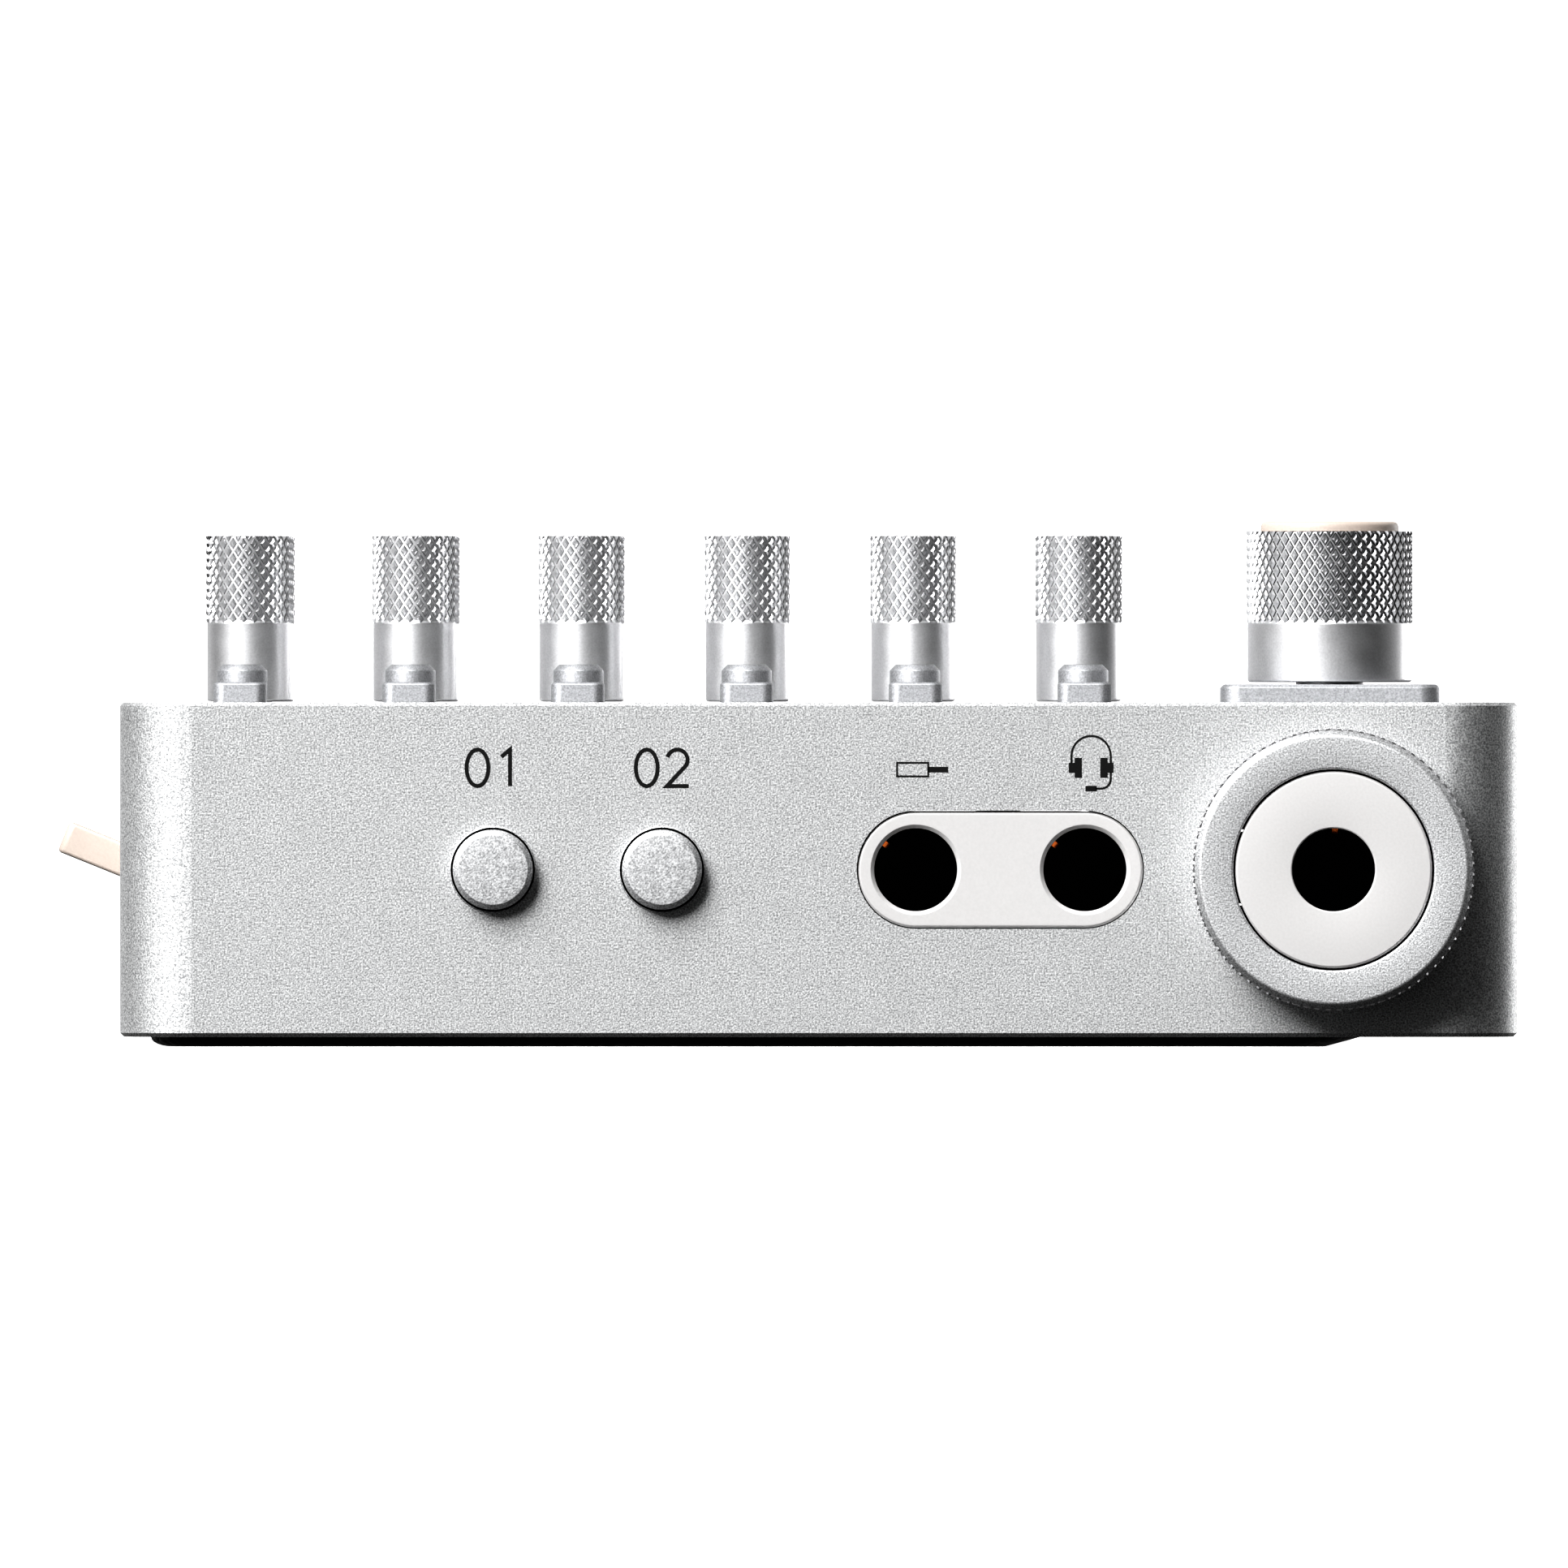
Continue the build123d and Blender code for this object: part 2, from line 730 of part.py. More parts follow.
def make_knob(x, y):
    """Small control knob: plain skirt, knurled grip, pointer groove, and the shaft it is pressed on."""
    shaft_top_z = knob_top_z - shaft_top_depth
    shaft_bottom_z = control_board_top_z + shaft_lift
    with BuildPart() as knob:
        with BuildSketch(Plane.XY.offset(knob_bottom_z)):
            with Locations((x, y)):
                Circle(knob_radius)
        extrude(amount=knob_top_z - knob_bottom_z)
        with BuildSketch(Plane.XY.offset(knob_top_z)):
            with Locations((x, y)):
                Circle(knurl_radius)
        extrude(amount=-knurl_height)
        chamfer(knob.faces().sort_by(Axis.Z)[-1].edges(), 0.12)
        with BuildSketch(Plane.XY.offset(knob_top_z)):
            with Locations((x, y + knurl_radius / 2 + 0.2)):
                Rectangle(pointer_width, knurl_radius)
        extrude(amount=-pointer_depth, mode=Mode.SUBTRACT)
        with BuildSketch(Plane.XY.offset(knob_bottom_z)):
            with Locations((x, y)):
                Circle(shaft_radius + thread_gap)
        extrude(amount=shaft_top_z + thread_gap - knob_bottom_z, mode=Mode.SUBTRACT)
        with BuildSketch(Plane.XY.offset(shaft_bottom_z)):
            with Locations((x, y)):
                Circle(shaft_radius)
        extrude(amount=shaft_top_z - shaft_bottom_z)
    return knob.part


def make_fader(x):
    """Round fader cap on its flat stem, at the low end of its travel."""
    cap_bottom_z = deck_z + fader_cap_lift
    stem_bottom_z = control_board_top_z + fader_stem_lift
    with BuildPart() as fader:
        with BuildSketch(Plane.XY.offset(cap_bottom_z)):
            with Locations((x, fader_low_y)):
                Circle(fader_cap_radius)
        extrude(amount=fader_cap_height - fader_cap_lift)
        chamfer(fader.faces().sort_by(Axis.Z)[-1].edges(), fader_cap_chamfer)
        with BuildSketch(Plane.XY.offset(stem_bottom_z)):
            with Locations((x, fader_low_y)):
                Rectangle(fader_stem_width, fader_stem_length)
        extrude(amount=cap_bottom_z - stem_bottom_z)
    return fader.part


def make_deck_button(x, y, side, proud):
    """Square press button with rounded corners, held under the deck by its flange."""
    flange_top_z = deck_under_z - 0.05
    flange_side = side + 2 * flange_margin
    with BuildPart() as button:
        with BuildSketch(Plane.XY.offset(flange_top_z)):
            with Locations((x, y)):
                RectangleRounded(side, side, button_corner)
        extrude(amount=deck_z + proud - flange_top_z)
        chamfer(button.faces().sort_by(Axis.Z)[-1].edges(), 0.1)
        with BuildSketch(Plane.XY.offset(flange_top_z)):
            with Locations((x, y)):
                RectangleRounded(flange_side, flange_side, button_corner)
        extrude(amount=-flange_thickness)
    return button.part


def make_side_button(x):
    """Round press button in the front wall, held inside by its flange."""
    flange_start = case_depth / 2 - wall - 0.05
    with BuildPart() as button:
        with BuildSketch(Plane.XZ.offset(case_depth / 2 + side_button_proud)):
            with Locations((x, jack_z)):
                Circle(side_button_radius)
        extrude(amount=-(side_button_proud + wall + 0.05))
        chamfer(button.faces().sort_by(Axis.Y)[0].edges(), 0.2)
        with BuildSketch(Plane.XZ.offset(flange_start)):
            with Locations((x, jack_z)):
                Circle(side_button_radius + flange_margin)
        extrude(amount=-flange_thickness)
    return button.part


def make_encoder_knob():
    """Large knurled knob with a pocket for the press cap, on its shaft."""
    pocket_z = encoder_top_z - encoder_pocket_depth
    shaft_top_z = pocket_z - 0.6
    shaft_bottom_z = control_board_top_z + shaft_lift
    with BuildPart() as knob:
        with BuildSketch(Plane.XY.offset(encoder_bottom_z)):
            with Locations((side_x, encoder_y)):
                Circle(encoder_knob_radius)
        extrude(amount=encoder_top_z - encoder_bottom_z)
        with BuildSketch(Plane.XY.offset(encoder_top_z)):
            with Locations((side_x, encoder_y)):
                Circle(encoder_knurl_radius)
        extrude(amount=-encoder_knurl_height)
        chamfer(knob.faces().sort_by(Axis.Z)[-1].edges(), 0.12)
        with BuildSketch(Plane.XY.offset(encoder_top_z)):
            with Locations((side_x, encoder_y)):
                Circle(encoder_cap_radius + running_gap)
        extrude(amount=-encoder_pocket_depth, mode=Mode.SUBTRACT)
        with BuildSketch(Plane.XY.offset(encoder_bottom_z)):
            with Locations((side_x, encoder_y)):
                Circle(encoder_shaft_radius + thread_gap)
        extrude(amount=shaft_top_z + thread_gap - encoder_bottom_z, mode=Mode.SUBTRACT)
        with BuildSketch(Plane.XY.offset(shaft_bottom_z)):
            with Locations((side_x, encoder_y)):
                Circle(encoder_shaft_radius)
        extrude(amount=shaft_top_z - shaft_bottom_z)
    return knob.part


def make_encoder_cap():
    """Press cap in the middle of the encoder knob."""
    cap_top_z = encoder_top_z + encoder_cap_proud
    with BuildPart() as cap:
        with BuildSketch(Plane.XY.offset(cap_top_z)):
            with Locations((side_x, encoder_y)):
                Circle(encoder_cap_radius)
        extrude(amount=-(encoder_cap_proud + encoder_pocket_depth - 0.5))
        fillet(cap.faces().sort_by(Axis.Z)[-1].edges(), 0.22)
    return cap.part


def make_power_lever():
    """Flat toggle lever, tilted up out of the left wall, with the hub it turns on."""
    along = Vector(-cos(radians(lever_angle)), 0, sin(radians(lever_angle)))
    pivot = Vector(lever_pivot_x, lever_y, lever_pivot_z)
    tilted = Plane(origin=pivot, x_dir=along, z_dir=(0, 1, 0))
    with BuildPart() as lever:
        with BuildSketch(tilted.offset(-lever_width / 2)):
            with Locations(((lever_reach - lever_tail) / 2, 0)):
                Rectangle(lever_reach + lever_tail, lever_thickness)
            Circle(lever_hub_radius)
            Circle(lever_pin_radius + running_gap, mode=Mode.SUBTRACT)
        extrude(amount=lever_width)
        tip = lever.faces().sort_by(Axis.X)[0]
        fillet(tip.edges(), 0.15)
    return lever.part


def write(part, name):
    part.label = name
    export_step(part, f"parts/{name}.step")


os.makedirs("parts", exist_ok=True)

write(make_housing(), "housing")
write(make_bottom_plate(), "bottom_plate")
write(make_base_pad(), "base_pad")
write(make_screws(), "screws")
write(make_main_board(), "main_board")
write(make_control_board(), "control_board")
write(make_battery(), "battery")
write(make_bezel(front_jacks, front, inward_from_front), "front_jack_bezel")
write(make_bezel(channels, rear, inward_from_rear), "rear_jack_bezel")
write(make_jack_sockets(), "jack_sockets")
write(make_output_sleeve(), "main_output_sleeve")
write(make_volume_ring(), "volume_ring")
write(make_volume_sensor(), "volume_sensor")
write(make_usb_socket(), "usb_socket")
write(make_display_glass(), "display_glass")
write(make_display_panel(), "display_panel")
write(make_light_guides(), "level_light_guides")
write(make_potentiometers(), "potentiometers")
write(make_fader_tracks(), "fader_tracks")
write(make_switches(), "tact_switches")
write(make_encoder_plate(), "encoder_plate")
write(make_encoder_body(), "encoder_body")
write(make_encoder_knob(), "encoder_knob")
write(make_encoder_cap(), "encoder_cap")
write(make_power_switch(), "power_switch")
write(make_power_lever(), "power_lever")
for row, y in enumerate(knob_rows, start=1):
    for channel, x in enumerate(channels, start=1):
        write(make_knob(x, y), f"knob_{channel}_row_{row}")
for channel, x in enumerate(channels, start=1):
    write(make_fader(x), f"fader_{channel}")
    write(make_deck_button(x, button_y, button_side, button_proud), f"channel_button_{channel}")
for number, (x, y) in enumerate(function_places, start=1):
    write(make_deck_button(x, y, function_side, function_proud), f"function_button_{number}")
for name, x in zip(("aux_button", "cue_button"), side_button_places):
    write(make_side_button(x), name)
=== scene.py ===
"""Looks of the pocket mixer: detailed pieces, materials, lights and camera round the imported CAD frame.

Pieces are built in millimetres about their own axis, and finish_piece() scales them to metres.
"""

import json
from math import cos, pi, radians, sin

import bmesh
import bpy
from mathutils import Matrix, Vector


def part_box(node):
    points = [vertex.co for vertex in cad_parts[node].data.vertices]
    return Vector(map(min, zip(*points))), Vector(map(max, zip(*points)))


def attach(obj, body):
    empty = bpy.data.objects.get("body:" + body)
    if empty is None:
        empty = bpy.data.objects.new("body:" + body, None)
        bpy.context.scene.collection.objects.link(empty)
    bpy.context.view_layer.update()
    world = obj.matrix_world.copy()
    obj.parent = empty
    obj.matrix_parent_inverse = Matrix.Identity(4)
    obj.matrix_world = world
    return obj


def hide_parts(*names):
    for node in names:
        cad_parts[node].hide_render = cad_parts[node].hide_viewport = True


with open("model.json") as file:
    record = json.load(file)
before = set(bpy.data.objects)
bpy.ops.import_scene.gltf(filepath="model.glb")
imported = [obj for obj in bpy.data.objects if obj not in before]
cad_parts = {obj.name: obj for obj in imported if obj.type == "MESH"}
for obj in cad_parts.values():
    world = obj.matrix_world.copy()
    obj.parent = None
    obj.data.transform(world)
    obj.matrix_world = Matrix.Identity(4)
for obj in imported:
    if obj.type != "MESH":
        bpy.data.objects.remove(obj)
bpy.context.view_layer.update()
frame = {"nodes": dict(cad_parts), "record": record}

MM = 0.001
TURN = 2 * pi
UPRIGHT = Matrix.Identity(4)
TO_FRONT = Matrix.Rotation(radians(90), 4, "X")
TO_REAR = Matrix.Rotation(radians(180), 4, "Z") @ TO_FRONT


def box_mm(node):
    """Lowest and highest corner of a CAD node, in millimetres."""
    low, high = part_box(node)
    return low / MM, high / MM


def centre_mm(node):
    """Centre of a CAD node's box, in millimetres."""
    low, high = box_mm(node)
    return (low + high) / 2


def channel_x(channel):
    """Where a channel's column of controls stands across the case, in millimetres."""
    return centre_mm(f"knob_{channel}_row_1").x


CHANNELS = range(1, 7)
ROWS = range(1, 4)
HOUSING_LOW, HOUSING_HIGH = box_mm("housing")
DECK = HOUSING_HIGH.z
FRONT = HOUSING_LOW.y
REAR = HOUSING_HIGH.y
JACK_HEIGHT = centre_mm("volume_ring").z
JACK_RADIUS = 1.84


# ---------------------------------------------------------------- outlines and profiles


def circle(radius, count=96):
    """Outline function of a circle: gives its points for an inset from the outer edge."""

    def points(inset):
        r = radius - inset
        return [(r * cos(TURN * i / count), r * sin(TURN * i / count)) for i in range(count)]

    return points


def rounded_rectangle(width, depth, corner, steps=8):
    """Outline function of a rectangle with round corners."""

    def points(inset):
        r = max(corner - inset, 0.01)
        found = []
        for quarter in range(4):
            side_x = (1, -1, -1, 1)[quarter]
            side_y = (1, 1, -1, -1)[quarter]
            centre_x = side_x * (width / 2 - inset - r)
            centre_y = side_y * (depth / 2 - inset - r)
            for step in range(steps + 1):
                angle = (quarter + step / steps) * pi / 2
                found.append((centre_x + r * cos(angle), centre_y + r * sin(angle)))
        return found

    return points


def round_corners(path, radius, steps=3):
    """Replaces each inner corner of an open path with a short arc."""
    found = [path[0]]
    for before, corner, after in zip(path, path[1:], path[2:]):
        corner = Vector(corner)
        back = Vector(before) - corner
        ahead = Vector(after) - corner
        reach = min(radius, back.length * 0.45, ahead.length * 0.45)
        start = corner + back.normalized() * reach
        end = corner + ahead.normalized() * reach
        for step in range(steps + 1):
            t = step / steps
            found.append(tuple((1 - t) ** 2 * start + 2 * t * (1 - t) * corner + t * t * end))
    found.append(path[-1])
    return found


# ---------------------------------------------------------------- mesh tools


def bridge(bm, low, high):
    """Joins two rings of vertices with faces. A ring of one vertex closes to a point."""
    count = max(len(low), len(high))
    for i in range(count):
        j = (i + 1) % count
        if len(low) == 1:
            bm.faces.new((low[0], high[j], high[i]))
        elif len(high) == 1:
            bm.faces.new((low[i], low[j], high[0]))
        else:
            bm.faces.new((low[i], low[j], high[j], high[i]))


def add_ring(bm, points, height):
    """Adds a ring of vertices at one height."""
    return [bm.verts.new((x, y, height)) for x, y in points]


def sweep(bm, outline, profile, cap_start=True, cap_end=True):
    """Walls an outline up a profile of (inset, height) steps, and returns the first and last rings."""
    rings = [add_ring(bm, outline(inset), height) for inset, height in profile]
    for low, high in zip(rings, rings[1:]):
        bridge(bm, low, high)
    if cap_start:
        bm.faces.new(reversed(rings[0]))
    if cap_end:
        bm.faces.new(rings[-1])
    return rings[0], rings[-1]


def fill_between(bm, rings):
    """Fills the flat area inside the first ring and outside the others."""
    edges = []
    for ring in rings:
        for a, b in zip(ring, ring[1:] + ring[:1]):
            edges.append(bm.edges.get((a, b)) or bm.edges.new((a, b)))
    bmesh.ops.triangle_fill(bm, use_beauty=True, edges=edges)


def shift(bm, verts, x=0.0, y=0.0, z=0.0):
    """Moves some vertices."""
    bmesh.ops.translate(bm, verts=verts, vec=(x, y, z))


def finish_mesh(bm, name, smooth_angle=35):
    """Turns a bmesh in millimetres into a mesh in metres, with sharp edges kept sharp."""
    bmesh.ops.recalc_face_normals(bm, faces=bm.faces)
    bmesh.ops.scale(bm, vec=(MM, MM, MM), verts=bm.verts)
    mesh = bpy.data.meshes.new(name)
    bm.to_mesh(mesh)
    bm.free()
    for face in mesh.polygons:
        face.use_smooth = True
    mesh.set_sharp_from_angle(angle=radians(smooth_angle))
    return mesh


def finish_piece(mesh, name, material, body, node=None, place=(0, 0, 0), facing=UPRIGHT):
    """Makes the object, places it in the row frame and tells the frame what it is."""
    piece = bpy.data.objects.new(name, mesh)
    bpy.context.scene.collection.objects.link(piece)
    piece.matrix_world = Matrix.Translation(Vector(place) * MM) @ facing
    if not mesh.materials:
        mesh.materials.append(material)
    weighted = piece.modifiers.new("weighted normals", "WEIGHTED_NORMAL")
    weighted.keep_sharp = True
    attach(piece, body)
    if node:
        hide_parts(node)
    return piece


# ---------------------------------------------------------------- materials

KNURL_DEPTH = 0.19
KNURL_ROUGHNESS = 0.33


class Surface:
    """A Principled material with short ways to add grain, mottling, painted shade and bump."""

    def __init__(self, name, colour, metallic, roughness):
        self.material = bpy.data.materials.new(name)
        self.material.use_nodes = True
        self.tree = self.material.node_tree
        self.shader = self.tree.nodes["Principled BSDF"]
        self.shader.inputs["Base Color"].default_value = (*colour, 1)
        self.shader.inputs["Metallic"].default_value = metallic
        self.shader.inputs["Roughness"].default_value = roughness
        self.colour = colour
        self.roughness = roughness
        self.coordinates = self.tree.nodes.new("ShaderNodeTexCoord").outputs["Object"]
        self.normal = None

    def node(self, kind, **settings):
        """Adds a shader node."""
        made = self.tree.nodes.new(kind)
        for name, value in settings.items():
            setattr(made, name, value)
        return made

    def link(self, source, target):
        """Connects an output to an input."""
        self.tree.links.new(source, target)

    def noise(self, size_mm, detail=2.0, stretch=(1, 1, 1)):
        """Noise with features of about size_mm."""
        mapping = self.node("ShaderNodeMapping")
        mapping.inputs["Scale"].default_value = stretch
        texture = self.node("ShaderNodeTexNoise")
        texture.inputs["Scale"].default_value = 1 / (size_mm * MM)
        texture.inputs["Detail"].default_value = detail
        self.link(self.coordinates, mapping.inputs["Vector"])
        self.link(mapping.outputs["Vector"], texture.inputs["Vector"])
        return texture.outputs["Fac"]

    def spread(self, source, low, high):
        """Maps noise from its usual band to low..high."""
        ranged = self.node("ShaderNodeMapRange")
        ranged.inputs["From Min"].default_value = 0.3
        ranged.inputs["From Max"].default_value = 0.7
        ranged.inputs["To Min"].default_value = low
        ranged.inputs["To Max"].default_value = high
        self.link(source, ranged.inputs["Value"])
        return ranged.outputs["Result"]

    def tint(self, source, low, high):
        """Varies the base colour between low and high times itself."""
        mix = self.node("ShaderNodeMix", data_type="RGBA")
        mix.inputs[6].default_value = (*(c * low for c in self.colour), 1)
        mix.inputs[7].default_value = (*(min(c * high, 1) for c in self.colour), 1)
        self.link(self.spread(source, 0, 1), mix.inputs[0])
        self.link(mix.outputs[2], self.shader.inputs["Base Color"])

    def shade(self, source, low, high, factor):
        """Painted shade: multiplies the base colour by factor where source is below low, fading to 1 at
        high.
        """
        ranged = self.node("ShaderNodeMapRange")
        for name, value in (("From Min", low), ("From Max", high), ("To Min", factor), ("To Max", 1.0)):
            ranged.inputs[name].default_value = value
        self.link(source, ranged.inputs["Value"])
        mix = self.node("ShaderNodeMix", data_type="RGBA", blend_type="MULTIPLY")
        mix.inputs[0].default_value = 1.0
        self.link(self.shader.inputs["Base Color"].links[0].from_socket, mix.inputs[6])
        self.link(ranged.outputs["Result"], mix.inputs[7])
        self.link(mix.outputs[2], self.shader.inputs["Base Color"])

    def paint_shade_on_tops(self, factor):
        """Paints shade on the faces that point up: darkens their base colour."""
        axes = self.node("ShaderNodeSeparateXYZ")
        self.link(self.node("ShaderNodeNewGeometry").outputs["True Normal"], axes.inputs["Vector"])
        facing_down = self.node("ShaderNodeMath", operation="MULTIPLY")
        facing_down.inputs[1].default_value = -1
        self.link(axes.outputs["Z"], facing_down.inputs[0])
        self.shade(facing_down.outputs["Value"], -0.9, -0.6, factor)

    def paint_shade_in_grooves(self, radius_mm, depth_mm, factor):
        """Paints shade on what lies deeper than depth_mm below radius_mm from the piece's own axis."""
        flatten = self.node("ShaderNodeVectorMath", operation="MULTIPLY")
        flatten.inputs[1].default_value = (1, 1, 0)
        self.link(self.coordinates, flatten.inputs[0])
        length = self.node("ShaderNodeVectorMath", operation="LENGTH")
        self.link(flatten.outputs["Vector"], length.inputs[0])
        floor = (radius_mm - depth_mm) * MM
        self.shade(length.outputs["Value"], floor, floor + 0.03 * MM, factor)

    def vary_roughness(self, source, amount):
        """Varies the roughness by amount either way."""
        spread = self.spread(source, self.roughness - amount, self.roughness + amount)
        self.link(spread, self.shader.inputs["Roughness"])

    def bump(self, source, height_mm, strength=1.0):
        """Adds relief of height_mm on top of any relief already there."""
        bump = self.node("ShaderNodeBump")
        bump.inputs["Distance"].default_value = height_mm * MM
        bump.inputs["Strength"].default_value = strength
        self.link(source, bump.inputs["Height"])
        if self.normal:
            self.link(self.normal, bump.inputs["Normal"])
        self.normal = bump.outputs["Normal"]
        self.link(self.normal, self.shader.inputs["Normal"])


def blasted_aluminium(name, colour, roughness, grain=0.078, bump=0.010, low=0.86, high=1.1, painted_top_shade=0.68):
    """Natural anodised aluminium with a fine bead-blasted grain, and painted shade darkening the faces that
    point up.
    """
    surface = Surface(name, colour, 1.0, roughness)
    fine = surface.noise(grain)
    surface.tint(fine, low, high)
    # Painted shade: the base colour of faces that point up is multiplied by this factor.
    surface.paint_shade_on_tops(painted_top_shade)
    surface.vary_roughness(surface.noise(1.2, 3.0), 0.012)
    surface.bump(fine, bump)
    return surface.material


def turned_aluminium(name, colour, roughness, ring_pitch=0.12):
    """Turned and anodised aluminium: fine tool rings round the piece's own axis, over a light grain, with
    painted shade on the faces that point up.
    """
    surface = Surface(name, colour, 1.0, roughness)
    fine = surface.noise(0.09)
    surface.tint(fine, 0.93, 1.06)
    # Painted shade: faces that point up are darkened to 0.8 of their colour.
    surface.paint_shade_on_tops(0.8)
    surface.vary_roughness(surface.noise(1.5, 2.0), 0.03)
    wave = surface.node("ShaderNodeTexWave", wave_type="RINGS", rings_direction="Z")
    wave.inputs["Scale"].default_value = 1 / (ring_pitch * MM * TURN) * 2
    wave.inputs["Distortion"].default_value = 0.4
    surface.link(surface.coordinates, wave.inputs["Vector"])
    surface.bump(wave.outputs["Fac"], 0.0006)
    surface.bump(fine, 0.0025)
    return surface.material


def knurled_aluminium(name, radius_mm):
    """Cut knurling: bright faces, with the bottoms of the grooves darkened as painted shade."""
    surface = Surface(name, (0.74, 0.74, 0.75), 1.0, KNURL_ROUGHNESS)
    surface.tint(surface.noise(0.1), 0.93, 1.06)
    # Painted shade: the groove bottoms are darkened to 0.04 of their colour.
    surface.paint_shade_in_grooves(radius_mm, KNURL_DEPTH * 0.60, 0.04)
    surface.vary_roughness(surface.noise(1.5, 2.0), 0.03)
    surface.bump(surface.noise(0.08), 0.001)
    return surface.material


def plastic(name, colour, roughness, grain=0.12, bump=0.002, low=0.97, high=1.02):
    """Moulded plastic with a spark-eroded texture."""
    surface = Surface(name, colour, 0.0, roughness)
    fine = surface.noise(grain)
    surface.tint(fine, low, high)
    surface.vary_roughness(surface.noise(4.0, 3.0), 0.05)
    surface.bump(fine, bump)
    return surface.material


def grained_rubber(name, colour, roughness):
    """Dark synthetic leather: pebbled cells with softer noise over them."""
    surface = Surface(name, colour, 0.0, roughness)
    cells = surface.node("ShaderNodeTexVoronoi", feature="DISTANCE_TO_EDGE")
    cells.inputs["Scale"].default_value = 1 / (0.55 * MM)
    surface.link(surface.coordinates, cells.inputs["Vector"])
    surface.bump(cells.outputs["Distance"], 0.12)
    surface.bump(surface.noise(0.15), 0.01)
    surface.tint(surface.noise(3.0), 0.8, 1.3)
    surface.vary_roughness(surface.noise(0.8), 0.08)
    return surface.material


def plain_steel(name, colour, roughness):
    """Bare metal with a light grain, finer along y than across it."""
    surface = Surface(name, colour, 1.0, roughness)
    surface.tint(surface.noise(0.3, 4.0), 0.85, 1.1)
    surface.vary_roughness(surface.noise(0.5), 0.06)
    surface.bump(surface.noise(0.2, 3.0, (1, 12, 1)), 0.001)
    return surface.material


def circuit_board(name, colour):
    """Solder mask with faint copper tracks under it."""
    surface = Surface(name, colour, 0.0, 0.4)
    tracks = surface.node("ShaderNodeTexBrick")
    tracks.inputs["Scale"].default_value = 1 / (6.0 * MM)
    tracks.inputs["Mortar Size"].default_value = 0.02
    surface.link(surface.coordinates, tracks.inputs["Vector"])
    surface.tint(tracks.outputs["Fac"], 1.0, 1.8)
    surface.bump(tracks.outputs["Fac"], 0.02)
    return surface.material


def display_window(name):
    """Dark, smooth glass."""
    surface = Surface(name, (0.012, 0.012, 0.014), 0.0, 0.06)
    surface.tint(surface.noise(2.0), 0.8, 1.2)
    surface.vary_roughness(surface.noise(1.0, 4.0), 0.02)
    return surface.material


# Painted shade: the deck and the case's other faces that point up are darkened to 0.68 of their colour.
CASE = blasted_aluminium("case aluminium", (0.77, 0.775, 0.79), 0.60, low=0.45, high=1.29)
KNOB = turned_aluminium("knob aluminium", (0.84, 0.84, 0.85), 0.40)
RING = blasted_aluminium("ring aluminium", (0.77, 0.775, 0.785), 0.60, low=0.5, high=1.28)
# Painted shade: a darker copy of the case aluminium for the encoder platform, deck buttons and fader caps,
# with lighter painted shade on its faces that point up.
PLATE_WITH_PAINTED_SHADE = blasted_aluminium(
    "plate aluminium with painted shade", (0.49, 0.495, 0.51), 0.60, bump=0.005, low=0.72, high=1.15, painted_top_shade=0.87
)
BUTTON = blasted_aluminium("button aluminium", (0.77, 0.775, 0.79), 0.60, low=0.5, high=1.28)
WHITE = plastic("bezel white", (0.60, 0.592, 0.588), 0.5)
CREAM = plastic("cap cream", (0.52, 0.45, 0.40), 0.5, low=0.95, high=1.03)
PAD = grained_rubber("pad rubber", (0.006, 0.006, 0.007), 0.55)
STEEL = plain_steel("screw steel", (0.45, 0.45, 0.46), 0.32)
BLACK = plastic("socket black", (0.006, 0.006, 0.006), 0.5)
BOARD = circuit_board("board green", (0.01, 0.08, 0.035))
WRAP = plastic("battery wrap", (0.10, 0.11, 0.13), 0.35)
WINDOW = display_window("display window")
GUIDE = plastic("guide clear", (0.75, 0.76, 0.76), 0.3)
INK = plastic("label ink", (0.002, 0.002, 0.002), 0.9)
SCREEN = plastic("screen light", (0.75, 0.78, 0.80), 0.6)
GOLD = plain_steel("contact gold", (0.80, 0.22, 0.05), 0.3)

SLOT_MATERIALS = {
    "case_aluminium": CASE,
    "knob_aluminium": KNOB,
    "ring_aluminium": RING,
    "button_aluminium": BUTTON,
    "cap_cream": CREAM,
    "bezel_white": WHITE,
    "pad_rubber": PAD,
    "screw_steel": STEEL,
    "board_green": BOARD,
    "battery_wrap": WRAP,
    "socket_black": BLACK,
    "display_window": WINDOW,
    "guide_clear": GUIDE,
}
for part in frame["record"]["subparts"]:
    for slot in frame["nodes"][part["node"]].material_slots:
        slot.material = SLOT_MATERIALS[part["material_slot"]]


# ---------------------------------------------------------------- knurled pieces

KNURL_ROWS = 11
KNURL_FLAT = 0.30
SMALL_KNURL_RADIUS = 1.92
LARGE_KNURL_RADIUS = 3.70
RING_KNURL_RADIUS = (box_mm("volume_ring")[1].x - box_mm("volume_ring")[0].x) / 2
SMALL_KNURL_COLUMNS = 24
LARGE_KNURL_COLUMNS = 48
RING_KNURL_COLUMNS = 78
RING_KNURL_ROWS = 7
KNURL_SMOOTH_ANGLE = 12
DIAMOND = ((0, 1), (-1, 0), (0, -1), (1, 0))
SLEEVE_OVERLAP = 0.2


